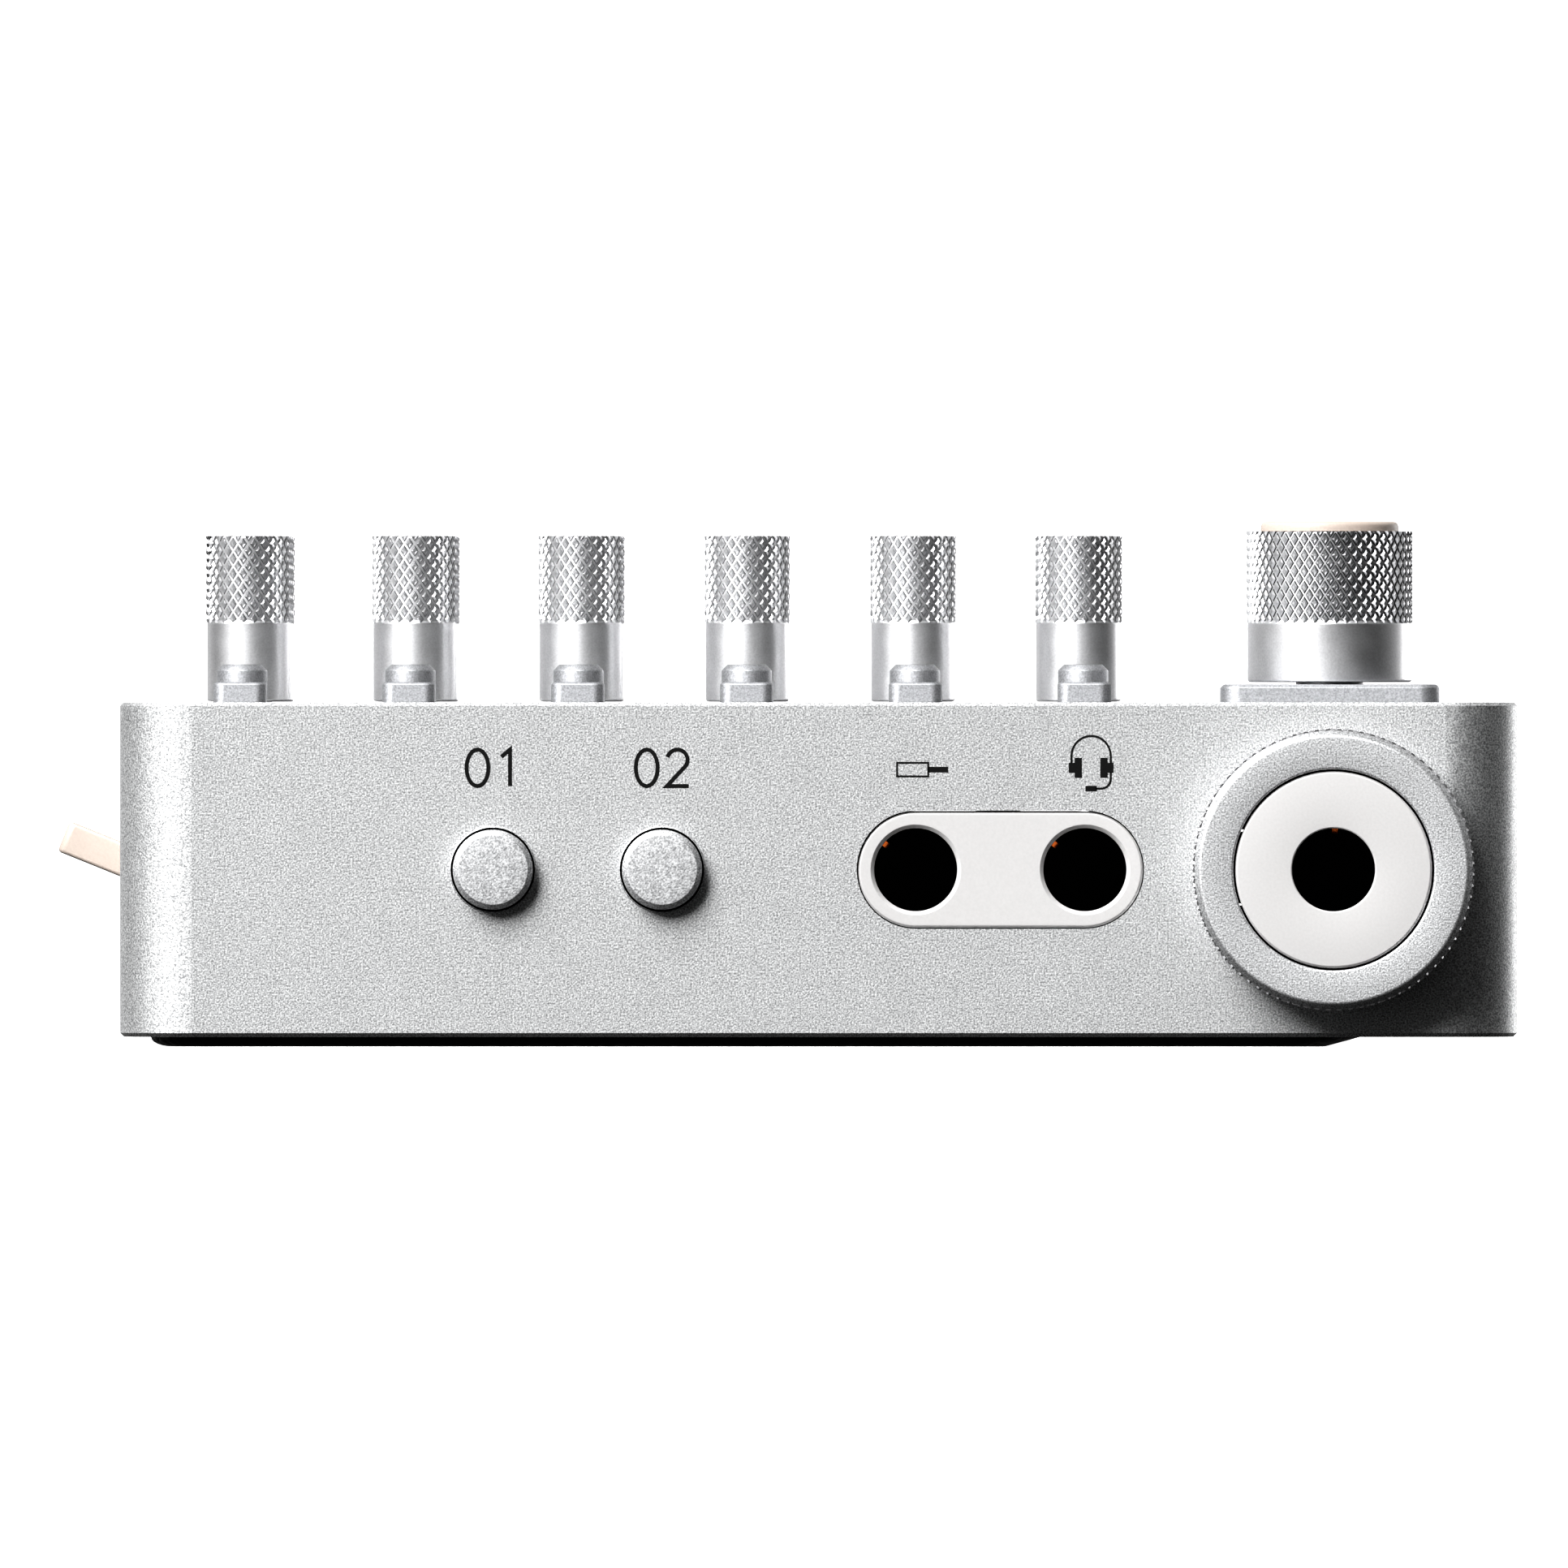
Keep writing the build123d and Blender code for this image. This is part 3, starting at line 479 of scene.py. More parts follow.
def knurl_sleeve(bm, radius, columns, top, height, inner, rows=KNURL_ROWS):
    """Closed sleeve of staggered, flat-topped diamonds: cut square at the top, zigzag at the bottom."""
    half_row = height / (rows + 1)
    root = radius - KNURL_DEPTH
    half_column = pi / columns
    corners = {}
    inside = {}

    def corner(row, column):
        """Vertex where grooves cross. Only every other place of this grid is used."""
        key = (row, column % (2 * columns))
        if key not in corners:
            angle = column * half_column
            at = (root * cos(angle), root * sin(angle), top - row * half_row)
            corners[key] = bm.verts.new(at)
        return corners[key]

    def inner_corner(row, column):
        """The same vertex on the sleeve's hidden inner wall."""
        key = (row, column % (2 * columns))
        if key not in inside:
            angle = column * half_column
            at = (inner * cos(angle), inner * sin(angle), top - row * half_row)
            inside[key] = bm.verts.new(at)
        return inside[key]

    def flat_corner(row, column, side, rise):
        """Corner of the flat on top of a diamond."""
        turn = (column + side * KNURL_FLAT) * half_column
        height_here = top - (row - rise * KNURL_FLAT) * half_row
        return bm.verts.new((radius * cos(turn), radius * sin(turn), height_here))

    for row in range(1, rows + 1):
        for column in range(row % 2, 2 * columns, 2):
            outer = [
                corner(row - 1, column),
                corner(row, column - 1),
                corner(row + 1, column),
                corner(row, column + 1),
            ]
            flat = [flat_corner(row, column, side, rise) for side, rise in DIAMOND]
            bm.faces.new(flat)
            for i in range(4):
                j = (i + 1) % 4
                bm.faces.new((outer[i], outer[j], flat[j], flat[i]))
    for column in range(0, 2 * columns, 2):
        left = corner(0, column - 1)
        right = corner(0, column + 1)
        below = corner(1, column)
        flat = [flat_corner(0, column, side, rise) for side, rise in DIAMOND[1:]]
        bm.faces.new(flat)
        bm.faces.new((left, below, flat[1], flat[0]))
        bm.faces.new((below, right, flat[2], flat[1]))
        bm.faces.new((right, left, flat[0], flat[2]))
        bm.faces.new((left, right, inner_corner(0, column + 1), inner_corner(0, column - 1)))
    for column in range(2 * columns):
        row = rows if (column + rows) % 2 == 1 else rows + 1
        next_row = rows if (column + 1 + rows) % 2 == 1 else rows + 1
        low = [corner(row, column), corner(next_row, column + 1)]
        under = [inner_corner(row, column), inner_corner(next_row, column + 1)]
        bm.faces.new((low[0], low[1], under[1], under[0]))
        top_left = column if column % 2 == 1 else column - 1
        top_right = column + 1 if column % 2 == 0 else column
        if top_left == top_right:
            continue
        bm.faces.new((under[0], under[1], inner_corner(0, top_right), inner_corner(0, top_left)))


def cut(mesh, cutter):
    """Takes one closed mesh out of another, and returns the result as a new mesh."""
    body = bpy.data.objects.new("body", mesh)
    tool = bpy.data.objects.new("tool", cutter)
    for made in (body, tool):
        bpy.context.scene.collection.objects.link(made)
    boolean = body.modifiers.new("cut", "BOOLEAN")
    boolean.operation = "DIFFERENCE"
    boolean.solver = "EXACT"
    boolean.object = tool
    depsgraph = bpy.context.evaluated_depsgraph_get()
    result = bpy.data.meshes.new_from_object(body.evaluated_get(depsgraph))
    for made in (body, tool):
        bpy.data.objects.remove(made)
    return result


def box_mesh(name, low, high):
    """Plain box between two corners."""
    bm = bmesh.new()
    bmesh.ops.create_cube(bm, size=1)
    for vert in bm.verts:
        for axis in range(3):
            vert.co[axis] = high[axis] if vert.co[axis] > 0 else low[axis]
    return finish_mesh(bm, name)


def make_knob_mesh():
    """Small knob about its own axis, with z = 0 at the deck."""
    low, high = box_mm("knob_1_row_1")
    top = high.z - DECK
    bottom = 0.12
    knurl = 4.09
    skirt = 1.87
    core = 1.80
    shaft = 0.88
    dish = 0.9
    pointer_half_width = 0.13
    pointer_depth = 0.14
    half_row = knurl / (KNURL_ROWS + 1)
    shaft_bottom = low.z - DECK
    profile = [
        (dish, bottom + 0.05),
        (skirt - 0.06, bottom),
        (skirt, bottom + 0.06),
        (skirt, top - knurl + 0.45 * half_row),
        (core, top - knurl + 0.8 * half_row),
        (core, top - 0.05),
        (core - 0.05, top),
        (0.0, top),
    ]
    bm = bmesh.new()
    rim = [(skirt - r, z) for r, z in round_corners(profile[:-1], 0.04)]
    sweep(bm, circle(skirt, 64), [*rim, (skirt - dish, top)], cap_start=False)
    sweep(bm, circle(shaft, 32), [(0, shaft_bottom), (0, bottom + 0.05)], cap_end=False)
    body = finish_mesh(bm, "knob body")
    pointer_low = (-pointer_half_width, 0.35, top - pointer_depth)
    pointer_high = (pointer_half_width, core - 0.06, top + 1)
    pointer = box_mesh("pointer", pointer_low, pointer_high)
    body = cut(body, pointer)
    bm = bmesh.new()
    knurl_sleeve(bm, SMALL_KNURL_RADIUS, SMALL_KNURL_COLUMNS, top, knurl, core - SLEEVE_OVERLAP)
    sleeve = finish_mesh(bm, "knob knurl", smooth_angle=KNURL_SMOOTH_ANGLE)
    return joined((body, KNOB), (sleeve, knurled_aluminium("small knurl", SMALL_KNURL_RADIUS)))


def joined(*pairs):
    """One mesh from several (mesh, material) pairs, each with its own shading and material kept."""
    bm = bmesh.new()
    for index, (mesh, _) in enumerate(pairs):
        first = len(bm.faces)
        bm.from_mesh(mesh)
        bm.faces.ensure_lookup_table()
        for face in bm.faces[first:]:
            face.material_index = index
    mesh = bpy.data.meshes.new(pairs[0][0].name)
    bm.to_mesh(mesh)
    bm.free()
    for _, material in pairs:
        mesh.materials.append(material)
    return mesh


def make_knobs():
    """The eighteen small knobs, which share one mesh."""
    mesh = make_knob_mesh()
    for row in ROWS:
        for channel in CHANNELS:
            node = f"knob_{channel}_row_{row}"
            centre = centre_mm(node)
            place = (centre.x, centre.y, DECK)
            finish_piece(mesh, f"{node}_knurled", KNOB, node, node, place)


def make_encoder():
    """Large knob with a press cap in its top, on a raised platform."""
    low, high = box_mm("encoder_knob")
    top = high.z - DECK
    bottom = box_mm("encoder_plate")[1].z - DECK + 0.1
    knurl = 4.28
    skirt = 3.66
    core = 3.56
    shaft = 1.5
    pocket = 3.15
    pocket_depth = 2.85
    half_row = knurl / (KNURL_ROWS + 1)
    profile = [
        (1.6, bottom + 0.1),
        (skirt - 0.08, bottom),
        (skirt, bottom + 0.08),
        (skirt, top - knurl + 0.45 * half_row),
        (core, top - knurl + 0.8 * half_row),
        (core, top - 0.06),
        (core - 0.06, top),
        (pocket + 0.05, top),
        (pocket, top - 0.05),
        (pocket, top - pocket_depth),
    ]
    bm = bmesh.new()
    rim = [(skirt - r, z) for r, z in round_corners(profile, 0.05)]
    sweep(bm, circle(skirt, 128), rim, cap_start=False)
    sweep(bm, circle(shaft, 48), [(0, low.z - DECK), (0, bottom + 0.1)], cap_end=False)
    body = finish_mesh(bm, "encoder body")
    bm = bmesh.new()
    knurl_sleeve(bm, LARGE_KNURL_RADIUS, LARGE_KNURL_COLUMNS, top, knurl, core - SLEEVE_OVERLAP)
    sleeve = finish_mesh(bm, "encoder knurl", smooth_angle=KNURL_SMOOTH_ANGLE)
    centre = centre_mm("encoder_knob")
    place = (centre.x, centre.y, DECK)
    mesh = joined((body, KNOB), (sleeve, knurled_aluminium("large knurl", LARGE_KNURL_RADIUS)))
    finish_piece(mesh, "encoder_knurled", KNOB, "encoder_knob", "encoder_knob", place)

    low, high = box_mm("encoder_cap")
    bm = bmesh.new()
    radius = (high.x - low.x) / 2
    rise = high.z - low.z
    profile = [(0, 0), (0, rise - 0.26), (0.03, rise - 0.12), (0.12, rise - 0.03), (0.3, rise)]
    sweep(bm, circle(radius, 96), [*round_corners(profile, 0.08), (1.6, rise - 0.02)])
    mesh = finish_mesh(bm, "encoder cap")
    place = (centre.x, centre.y, low.z)
    finish_piece(mesh, "encoder_press_cap", CREAM, "encoder_cap", "encoder_cap", place)

    low, high = box_mm("encoder_plate")
    side = high.x - low.x
    rise = high.z - low.z
    bm = bmesh.new()
    profile = round_corners([(0, 0), (0, rise - 0.15), (0.15, rise), (2.4, rise)], 0.03)
    sweep(bm, rounded_rectangle(side, side, 0.9), profile)
    mesh = finish_mesh(bm, "encoder platform")
    place = (centre.x, centre.y, DECK)
    finish_piece(mesh, "encoder_platform", PLATE_WITH_PAINTED_SHADE, "case", "encoder_plate", place)


def make_volume_ring():
    """Ring round the main output, built facing outwards with z = 0 at the front wall."""
    centre = centre_mm("volume_ring")
    proud = FRONT - box_mm("volume_ring")[0].y
    back = 0.2
    bevel = 0.31
    outer = RING_KNURL_RADIUS
    face = outer - bevel
    bore = 4.45
    hub = bore + 0.7
    hub_depth = 2.4
    knurl = proud - back - bevel
    profile = [
        (outer - 0.35, back),
        (outer - 0.12, back),
        (outer - 0.12, proud - bevel),
        (outer - 0.06, proud - 0.29),
        (face + 0.03, proud - 0.03),
        (face - 0.05, proud),
        (bore + 0.07, proud),
        (bore, proud - 0.07),
        (bore, -hub_depth),
        (hub, -hub_depth),
        (hub, back),
        (outer - 0.35, back),
    ]
    bm = bmesh.new()
    rim = [(outer - r, z) for r, z in round_corners(profile, 0.03)]
    sweep(bm, circle(outer, 192), rim, cap_start=False, cap_end=False)
    bmesh.ops.remove_doubles(bm, verts=bm.verts, dist=0.0001)
    body = finish_mesh(bm, "ring body")
    bm = bmesh.new()
    knurl_sleeve(bm, outer, RING_KNURL_COLUMNS, proud - 0.30, knurl, outer - 0.3, RING_KNURL_ROWS)
    sleeve = finish_mesh(bm, "ring knurl", smooth_angle=KNURL_SMOOTH_ANGLE)
    mesh = joined((body, RING), (sleeve, knurled_aluminium("ring knurl", outer)))
    place = (centre.x, FRONT, JACK_HEIGHT)
    node = "volume_ring"
    finish_piece(mesh, "volume_ring_knurled", RING, node, node, place, TO_FRONT)


# ---------------------------------------------------------------- buttons and fader caps


def make_side_buttons():
    """Round buttons in the front wall, each in a thin raised collar."""
    radius = 1.775
    collar_radius = 1.955
    for node in ("aux_button", "cue_button"):
        centre = centre_mm(node)
        proud = FRONT - box_mm(node)[0].y
        profile = [(0, -1.6), (0, proud - 0.2), (0.22, proud), (1.2, proud)]
        bm = bmesh.new()
        sweep(bm, circle(radius, 96), round_corners(profile, 0.025))
        mesh = finish_mesh(bm, node)
        place = (centre.x, FRONT, JACK_HEIGHT)
        finish_piece(mesh, f"{node}_cap", BUTTON, node, node, place, TO_FRONT)
        bm = bmesh.new()
        lip = [(0, -0.02), (0.07, 0.035), (0.085, 0.02), (0.085, -0.02)]
        sweep(bm, circle(collar_radius, 96), round_corners(lip, 0.01), cap_start=False, cap_end=False)
        mesh = finish_mesh(bm, f"{node} collar")
        finish_piece(mesh, f"{node}_collar", BUTTON, "case", None, place, TO_FRONT)


def make_deck_buttons():
    """Low square buttons on the deck. Each kind shares one mesh."""
    for kind, count in (("channel_button", 6), ("function_button", 2)):
        low, high = box_mm(f"{kind}_1")
        flange = 0.4
        side = high.x - low.x - 2 * flange
        rise = high.z - low.z
        profile = [(0, 0.45), (0, rise - 0.1), (0.1, rise), (side / 2 - 0.3, rise)]
        bm = bmesh.new()
        sweep(bm, rounded_rectangle(side, side, 0.5), round_corners(profile, 0.03))
        mesh = finish_mesh(bm, kind)
        for number in range(1, count + 1):
            node = f"{kind}_{number}"
            centre = centre_mm(node)
            place = (centre.x, centre.y, low.z)
            finish_piece(mesh, f"{node}_cap", PLATE_WITH_PAINTED_SHADE, node, node, place)


def make_fader_caps():
    """Round fader caps on flat stems, which share one mesh."""
    low, high = box_mm("fader_1")
    radius = 1.125
    chamfer = 0.27
    lift = 0.15
    stem_width = 0.8
    stem_length = 1.6
    rise = high.z - low.z
    bottom = DECK + lift - low.z
    profile = [(0.1, bottom), (0, bottom + 0.1), (0, rise - chamfer), (chamfer, rise), (0.8, rise)]
    bm = bmesh.new()
    sweep(bm, circle(radius, 48), round_corners(profile, 0.04))
    sweep(bm, rounded_rectangle(stem_width, stem_length, 0.1, 3), [(0, 0), (0, bottom)])
    mesh = finish_mesh(bm, "fader cap")
    for channel in CHANNELS:
        node = f"fader_{channel}"
        centre = centre_mm(node)
        place = (centre.x, centre.y, low.z)
        finish_piece(mesh, f"{node}_cap", PLATE_WITH_PAINTED_SHADE, node, node, place)


# ---------------------------------------------------------------- jacks


BEZEL_HEIGHT = 5.14


def stadium(length, height, steps=24):
    """Outline function of a rectangle with half-round ends."""
    return rounded_rectangle(length, height, height / 2 - 0.001, steps)


def make_bezel(name, node, jacks, face, facing, mirror):
    """White plate round a row of jacks, built facing outwards with z = 0 at the wall."""
    length = jacks[-1] - jacks[0] + BEZEL_HEIGHT
    middle = (jacks[0] + jacks[-1]) / 2
    bm = bmesh.new()
    edge = round_corners([(0, -1.6), (0, -0.15), (0.09, -0.05), (0.2, -0.05)], 0.03)
    _, outer = sweep(bm, stadium(length, BEZEL_HEIGHT), edge, cap_start=False, cap_end=False)
    rings = [outer]
    for x in jacks:
        before = len(bm.verts)
        chamfer = round_corners([(0, -2.2), (0, -0.21), (-0.16, -0.05), (-0.2, -0.05)], 0.03)
        _, ring = sweep(bm, circle(JACK_RADIUS, 96), chamfer, cap_start=False, cap_end=False)
        bm.verts.ensure_lookup_table()
        shift(bm, bm.verts[before:], (x - middle) * mirror)
        rings.append(ring)
    fill_between(bm, rings)
    mesh = finish_mesh(bm, name)
    place = (middle, face, JACK_HEIGHT)
    finish_piece(mesh, name, WHITE, "case", node, place, facing)


def make_bezels():
    """Front bezel round the last two channels' jacks, and rear bezel round all six inputs."""
    channels = [channel_x(channel) for channel in CHANNELS]
    make_bezel("front_bezel_plate", "front_jack_bezel", channels[4:], FRONT, TO_FRONT, 1)
    make_bezel("rear_bezel_plate", "rear_jack_bezel", channels, REAR, TO_REAR, -1)


def make_output_face():
    """White face of the main output, inside the ring."""
    node = "main_output_sleeve"
    low, high = box_mm(node)
    centre = centre_mm(node)
    radius = (high.x - low.x) / 2
    profile = [
        (0, -1.0),
        (0, -0.10),
        (0.09, 0),
        (radius - JACK_RADIUS - 0.05, 0),
        (radius - JACK_RADIUS, -0.05),
        (radius - JACK_RADIUS, -1.5),
    ]
    bm = bmesh.new()
    sweep(bm, circle(radius, 128), round_corners(profile, 0.03), cap_start=False, cap_end=False)
    mesh = finish_mesh(bm, "output face")
    place = (centre.x, low.y, JACK_HEIGHT)
    finish_piece(mesh, "main_output_face", WHITE, "case", node, place, TO_FRONT)


def make_contacts():
    """Gold contact leaf just inside each jack: above the main output's bore, upper left in the others."""
    channels = [channel_x(channel) for channel in CHANNELS]
    main = centre_mm("main_output_sleeve").x
    main_face = box_mm("main_output_sleeve")[0].y
    upper_left = 140
    above = 88
    half_width = 0.13
    thickness = 0.07
    section = ((-half_width, 0), (half_width, 0), (half_width, thickness), (-half_width, thickness))
    places = [(f"front_contact_{i}", x, FRONT, TO_FRONT, upper_left) for i, x in enumerate(channels[4:], 1)]
    places += [(f"rear_contact_{i}", x, REAR, TO_REAR, upper_left) for i, x in enumerate(channels, 1)]
    places.append(("main_contact", main, main_face, TO_FRONT, above))
    for name, x, face, facing, angle in places:
        hump = [(0.0, -3.0), (0.10, -2.3), (0.22, -1.75), (0.24, -1.55), (0.18, -1.35), (0.0, -1.15)]
        bm = bmesh.new()
        rings = []
        for rise, depth in round_corners(hump, 0.3, 2):
            radius = JACK_RADIUS - 0.02 - rise
            ring = []
            for side, thick in section:
                ring.append(bm.verts.new((side, radius + thick, depth)))
            rings.append(ring)
        for low, high in zip(rings, rings[1:]):
            bridge(bm, low, high)
        bm.faces.new(reversed(rings[0]))
        bm.faces.new(rings[-1])
        bmesh.ops.rotate(bm, verts=bm.verts, matrix=Matrix.Rotation(radians(angle - 90), 3, "Z"))
        mesh = finish_mesh(bm, name)
        finish_piece(mesh, name, GOLD, "case", None, (x, face, JACK_HEIGHT), facing)


# ---------------------------------------------------------------- sole and power lever


def make_base_pad():
    """Padded sole. Its left, front and rear edges are rounded under, and its right edge is a plain slope."""
    low, high = box_mm("base_pad")
    thickness = high.z - low.z
    steps = 6
    slope = 1.61
    roll = 1.01
    bm = bmesh.new()
    rings = []
    for step in range(steps + 1):
        angle = step / steps * pi / 2
        drop = sin(angle)
        inset = roll * (1 - cos(angle))
        left = low.x + inset
        right = high.x - slope * drop
        depth = high.y - low.y - 2 * inset
        outline = rounded_rectangle(right - left, depth, 2.6 - inset)(0)
        middle = (left + right) / 2
        rings.append(add_ring(bm, [(middle + x, y) for x, y in outline], high.z - thickness * drop))
    for upper, lower in zip(rings, rings[1:]):
        bridge(bm, upper, lower)
    bm.faces.new(rings[0])
    bm.faces.new(rings[-1])
    mesh = finish_mesh(bm, "sole", smooth_angle=50)
    finish_piece(mesh, "base_pad_sole", PAD, "case", "base_pad")


LEVER_TILT = 22
LEVER_THICKNESS = 1.45
LEVER_PIVOT_X = -28.9
LEVER_PIVOT_HEIGHT = 7.22


def make_power_lever():
    """Flat lever with softened edges, built along +x from its pivot and then tilted up to the left."""
    low, high = box_mm("power_lever")
    centre = centre_mm("power_lever")
    reach = 5.53
    tail = 2.0
    width = high.y - low.y
    bm = bmesh.new()
    edge = 0.16
    flat = rounded_rectangle(reach + tail, width, 0.35, 5)
    half = LEVER_THICKNESS / 2
    profile = [(edge, -half), (edge * 0.3, -half + edge * 0.3), (0, -half + edge)]
    profile += [(inset, -z) for inset, z in reversed(profile)]
    sweep(bm, flat, profile)
    shift(bm, bm.verts, x=(reach - tail) / 2)
    mesh = finish_mesh(bm, "lever", smooth_angle=50)
    to_left = Matrix.Rotation(radians(180), 4, "Z")
    tilted = Matrix.Rotation(radians(LEVER_TILT), 4, "Y") @ to_left
    place = (LEVER_PIVOT_X, centre.y, LEVER_PIVOT_HEIGHT)
    finish_piece(mesh, "power_lever_blade", CREAM, "power_lever", "power_lever", place, tilted)


# ---------------------------------------------------------------- printed marks

INK_HEIGHT = 0.012


def arc(x, y, width, height, start, end, steps=16):
    """Points of an elliptical arc, with angles in degrees from +x."""
    angles = [radians(start + (end - start) * i / steps) for i in range(steps + 1)]
    return [(x + width / 2 * cos(a), y + height / 2 * sin(a)) for a in angles]


def stroke(bm, path, width, closed=False):
    """Raised ribbon of ink along a path."""
    points = [Vector(p) for p in path]
    count = len(points)
    sides = []
    for i, point in enumerate(points):
        before = points[i - 1] if closed or i else point
        after = points[(i + 1) % count] if closed or i < count - 1 else point
        into = (point - before).normalized()
        out = (after - point).normalized()
        along = (into + out).normalized()
        across = Vector((-along.y, along.x))
        lean = max(along.dot(out if out.length else into), 0.35)
        offset = across * width / 2 / lean
        sides.append((point + offset, point - offset))
    rings = []
    for left, right in sides:
        ring = [(left, 0), (right, 0), (right, INK_HEIGHT), (left, INK_HEIGHT)]
        rings.append([bm.verts.new((p.x, p.y, z)) for p, z in ring])
    pairs = list(zip(rings, rings[1:]))
    if closed:
        pairs.append((rings[-1], rings[0]))
    for low, high in pairs:
        bridge(bm, low, high)
    if not closed:
        bm.faces.new(reversed(rings[0]))
        bm.faces.new(rings[-1])


def block(bm, x, y, width, height):
    """Raised rectangle of ink round a centre."""
    stroke(bm, [(x - width / 2, y), (x + width / 2, y)], height)


def digit_paths(digit):
    """Strokes of a thin, plain digit in a box 0.62 wide and 1 high."""
    if digit == 0:
        return [arc(0.31, 0.5, 0.6, 1.0, 0, 345, 23)], True
    if digit == 1:
        return [[(0.12, 0.80), (0.36, 1.0), (0.36, 0.0)]], False
    if digit == 2:
        return [arc(0.31, 0.72, 0.56, 0.56, 165, -35, 12) + [(0.02, 0.0), (0.62, 0.0)]], False
    if digit == 3:
        return [arc(0.29, 0.75, 0.5, 0.5, 150, -90, 12), arc(0.29, 0.25, 0.56, 0.5, 90, -150, 12)], False
    if digit == 4:
        return [[(0.46, 0.0), (0.46, 1.0), (0.0, 0.3), (0.62, 0.3)]], False
    if digit == 5:
        return [[(0.54, 1.0), (0.1, 1.0), (0.06, 0.56)] + arc(0.3, 0.32, 0.58, 0.64, 115, -150, 14)], False
    return [[(0.44, 1.0)] + arc(0.31, 0.31, 0.6, 0.62, 150, 480, 20)], False


def draw_number(bm, digits, x, y, size, weight):
    """Row of digits centred on x, standing on y."""
    advance = 0.84 * size
    start = x - (advance * (len(digits) - 1) + 0.62 * size) / 2
    for index, digit in enumerate(digits):
        paths, closed = digit_paths(digit)
        for path in paths:
            left = start + index * advance
            stroke(bm, [(left + px * size, y + py * size) for px, py in path], weight, closed)


def draw_plug(bm, x, y):
    """Plug pictogram: an open barrel with a solid tip, centred on (x, y)."""
    left, right, half = x - 1.10, x + 0.28, 0.30
    stroke(bm, [(left, y - half), (right, y - half), (right, y + half), (left, y + half)], 0.08, closed=True)
    block(bm, x + 0.72, y, 0.88, 0.24)


def draw_headset(bm, x, y):
    """Headset pictogram: band, two double cups and a boom, with its cups centred on (x, y)."""
    reach = 0.87
    line = 0.09
    band = arc(x, y + 0.52, 2 * reach, 1.78, 180, 0, 28)
    stroke(bm, [(x - reach, y + 0.2), *band, (x + reach, y + 0.2)], line)
    for side in (-1, 1):
        block(bm, x + side * 0.57, y, 0.32, 0.88)
        block(bm, x + side * 0.86, y, 0.26, 0.44)
    boom = arc(x + 0.45, y - 0.5, 0.84, 0.84, 0, -90, 10)
    stroke(bm, [(x + reach, y - 0.2), *boom, (x + 0.2, y - 0.92)], line)
    block(bm, x, y - 0.92, 0.50, 0.24)


def finish_print(bm, name, place, facing=UPRIGHT, material=None):
    """Finishes printed marks as a piece on the case."""
    mesh = finish_mesh(bm, name)
    finish_piece(mesh, name, material or INK, "case", None, place, facing)


def make_front_marks():
    """Numbers over the two front buttons, and a plug and a headset over the small jacks."""
    number_lift = 3.71
    number_size = 1.62
    for number, node in enumerate(("aux_button", "cue_button"), 1):
        bm = bmesh.new()
        draw_number(bm, (0, number), 0, 0, number_size, 0.17)
        place = (centre_mm(node).x, FRONT, JACK_HEIGHT + number_lift)
        finish_print(bm, f"front_mark_{number}", place, TO_FRONT)
    right_of_jack = 0.27
    for name, channel, draw, lift in (("plug", 5, draw_plug, 4.44), ("headset", 6, draw_headset, 4.52)):
        bm = bmesh.new()
        draw(bm, 0, 0)
        place = (channel_x(channel) + right_of_jack, FRONT, JACK_HEIGHT + lift)
        finish_print(bm, f"front_{name}_mark", place, TO_FRONT)


def make_deck_marks():
    """Channel numbers, fader scales, ticks at each knob's middle and ends, a circle and a triangle."""
    number_y = -33.2
    fader_travel = 24.0
    scale_steps = 8
    scale_gap = 1.35
    knob_travel = 150
    sign_line = 0.16
    bm = bmesh.new()
    for channel in CHANNELS:
        x = channel_x(channel)
        draw_number(bm, (channel,), x, number_y, 1.5, sign_line)
        fader_low = centre_mm(f"fader_{channel}").y
        for step in range(scale_steps + 1):
            length = 0.9 if step % 4 == 0 else 0.5
            y = fader_low + step * fader_travel / scale_steps
            block(bm, x - scale_gap - length / 2, y, length, 0.12)
        for row in ROWS:
            centre = centre_mm(f"knob_{channel}_row_{row}")
            for turn in (-knob_travel, 0, knob_travel):
                way = Vector((sin(radians(turn)), cos(radians(turn))))
                middle = Vector((centre.x, centre.y))
                stroke(bm, [middle + way * 2.45, middle + way * 2.95], 0.14)
    first = centre_mm("function_button_1")
    stroke(bm, arc(first.x - 3.1, first.y, 1.1, 1.1, 0, 345, 23), sign_line, closed=True)
    second = centre_mm("function_button_2")
    x = second.x - 3.2
    y = second.y
    stroke(bm, [(x - 0.45, y - 0.55), (x + 0.55, y), (x - 0.45, y + 0.55)], sign_line, closed=True)
    finish_print(bm, "deck_marks", (0, 0, DECK))


def make_rear_marks():
    """Channel numbers over the inputs, sunk into the wall by half their height."""
    bm = bmesh.new()
    for channel in CHANNELS:
        draw_number(bm, (channel,), -channel_x(channel), 3.4, 1.3, 0.15)
    finish_print(bm, "rear_marks", (0, REAR - INK_HEIGHT / 2, JACK_HEIGHT), TO_REAR)


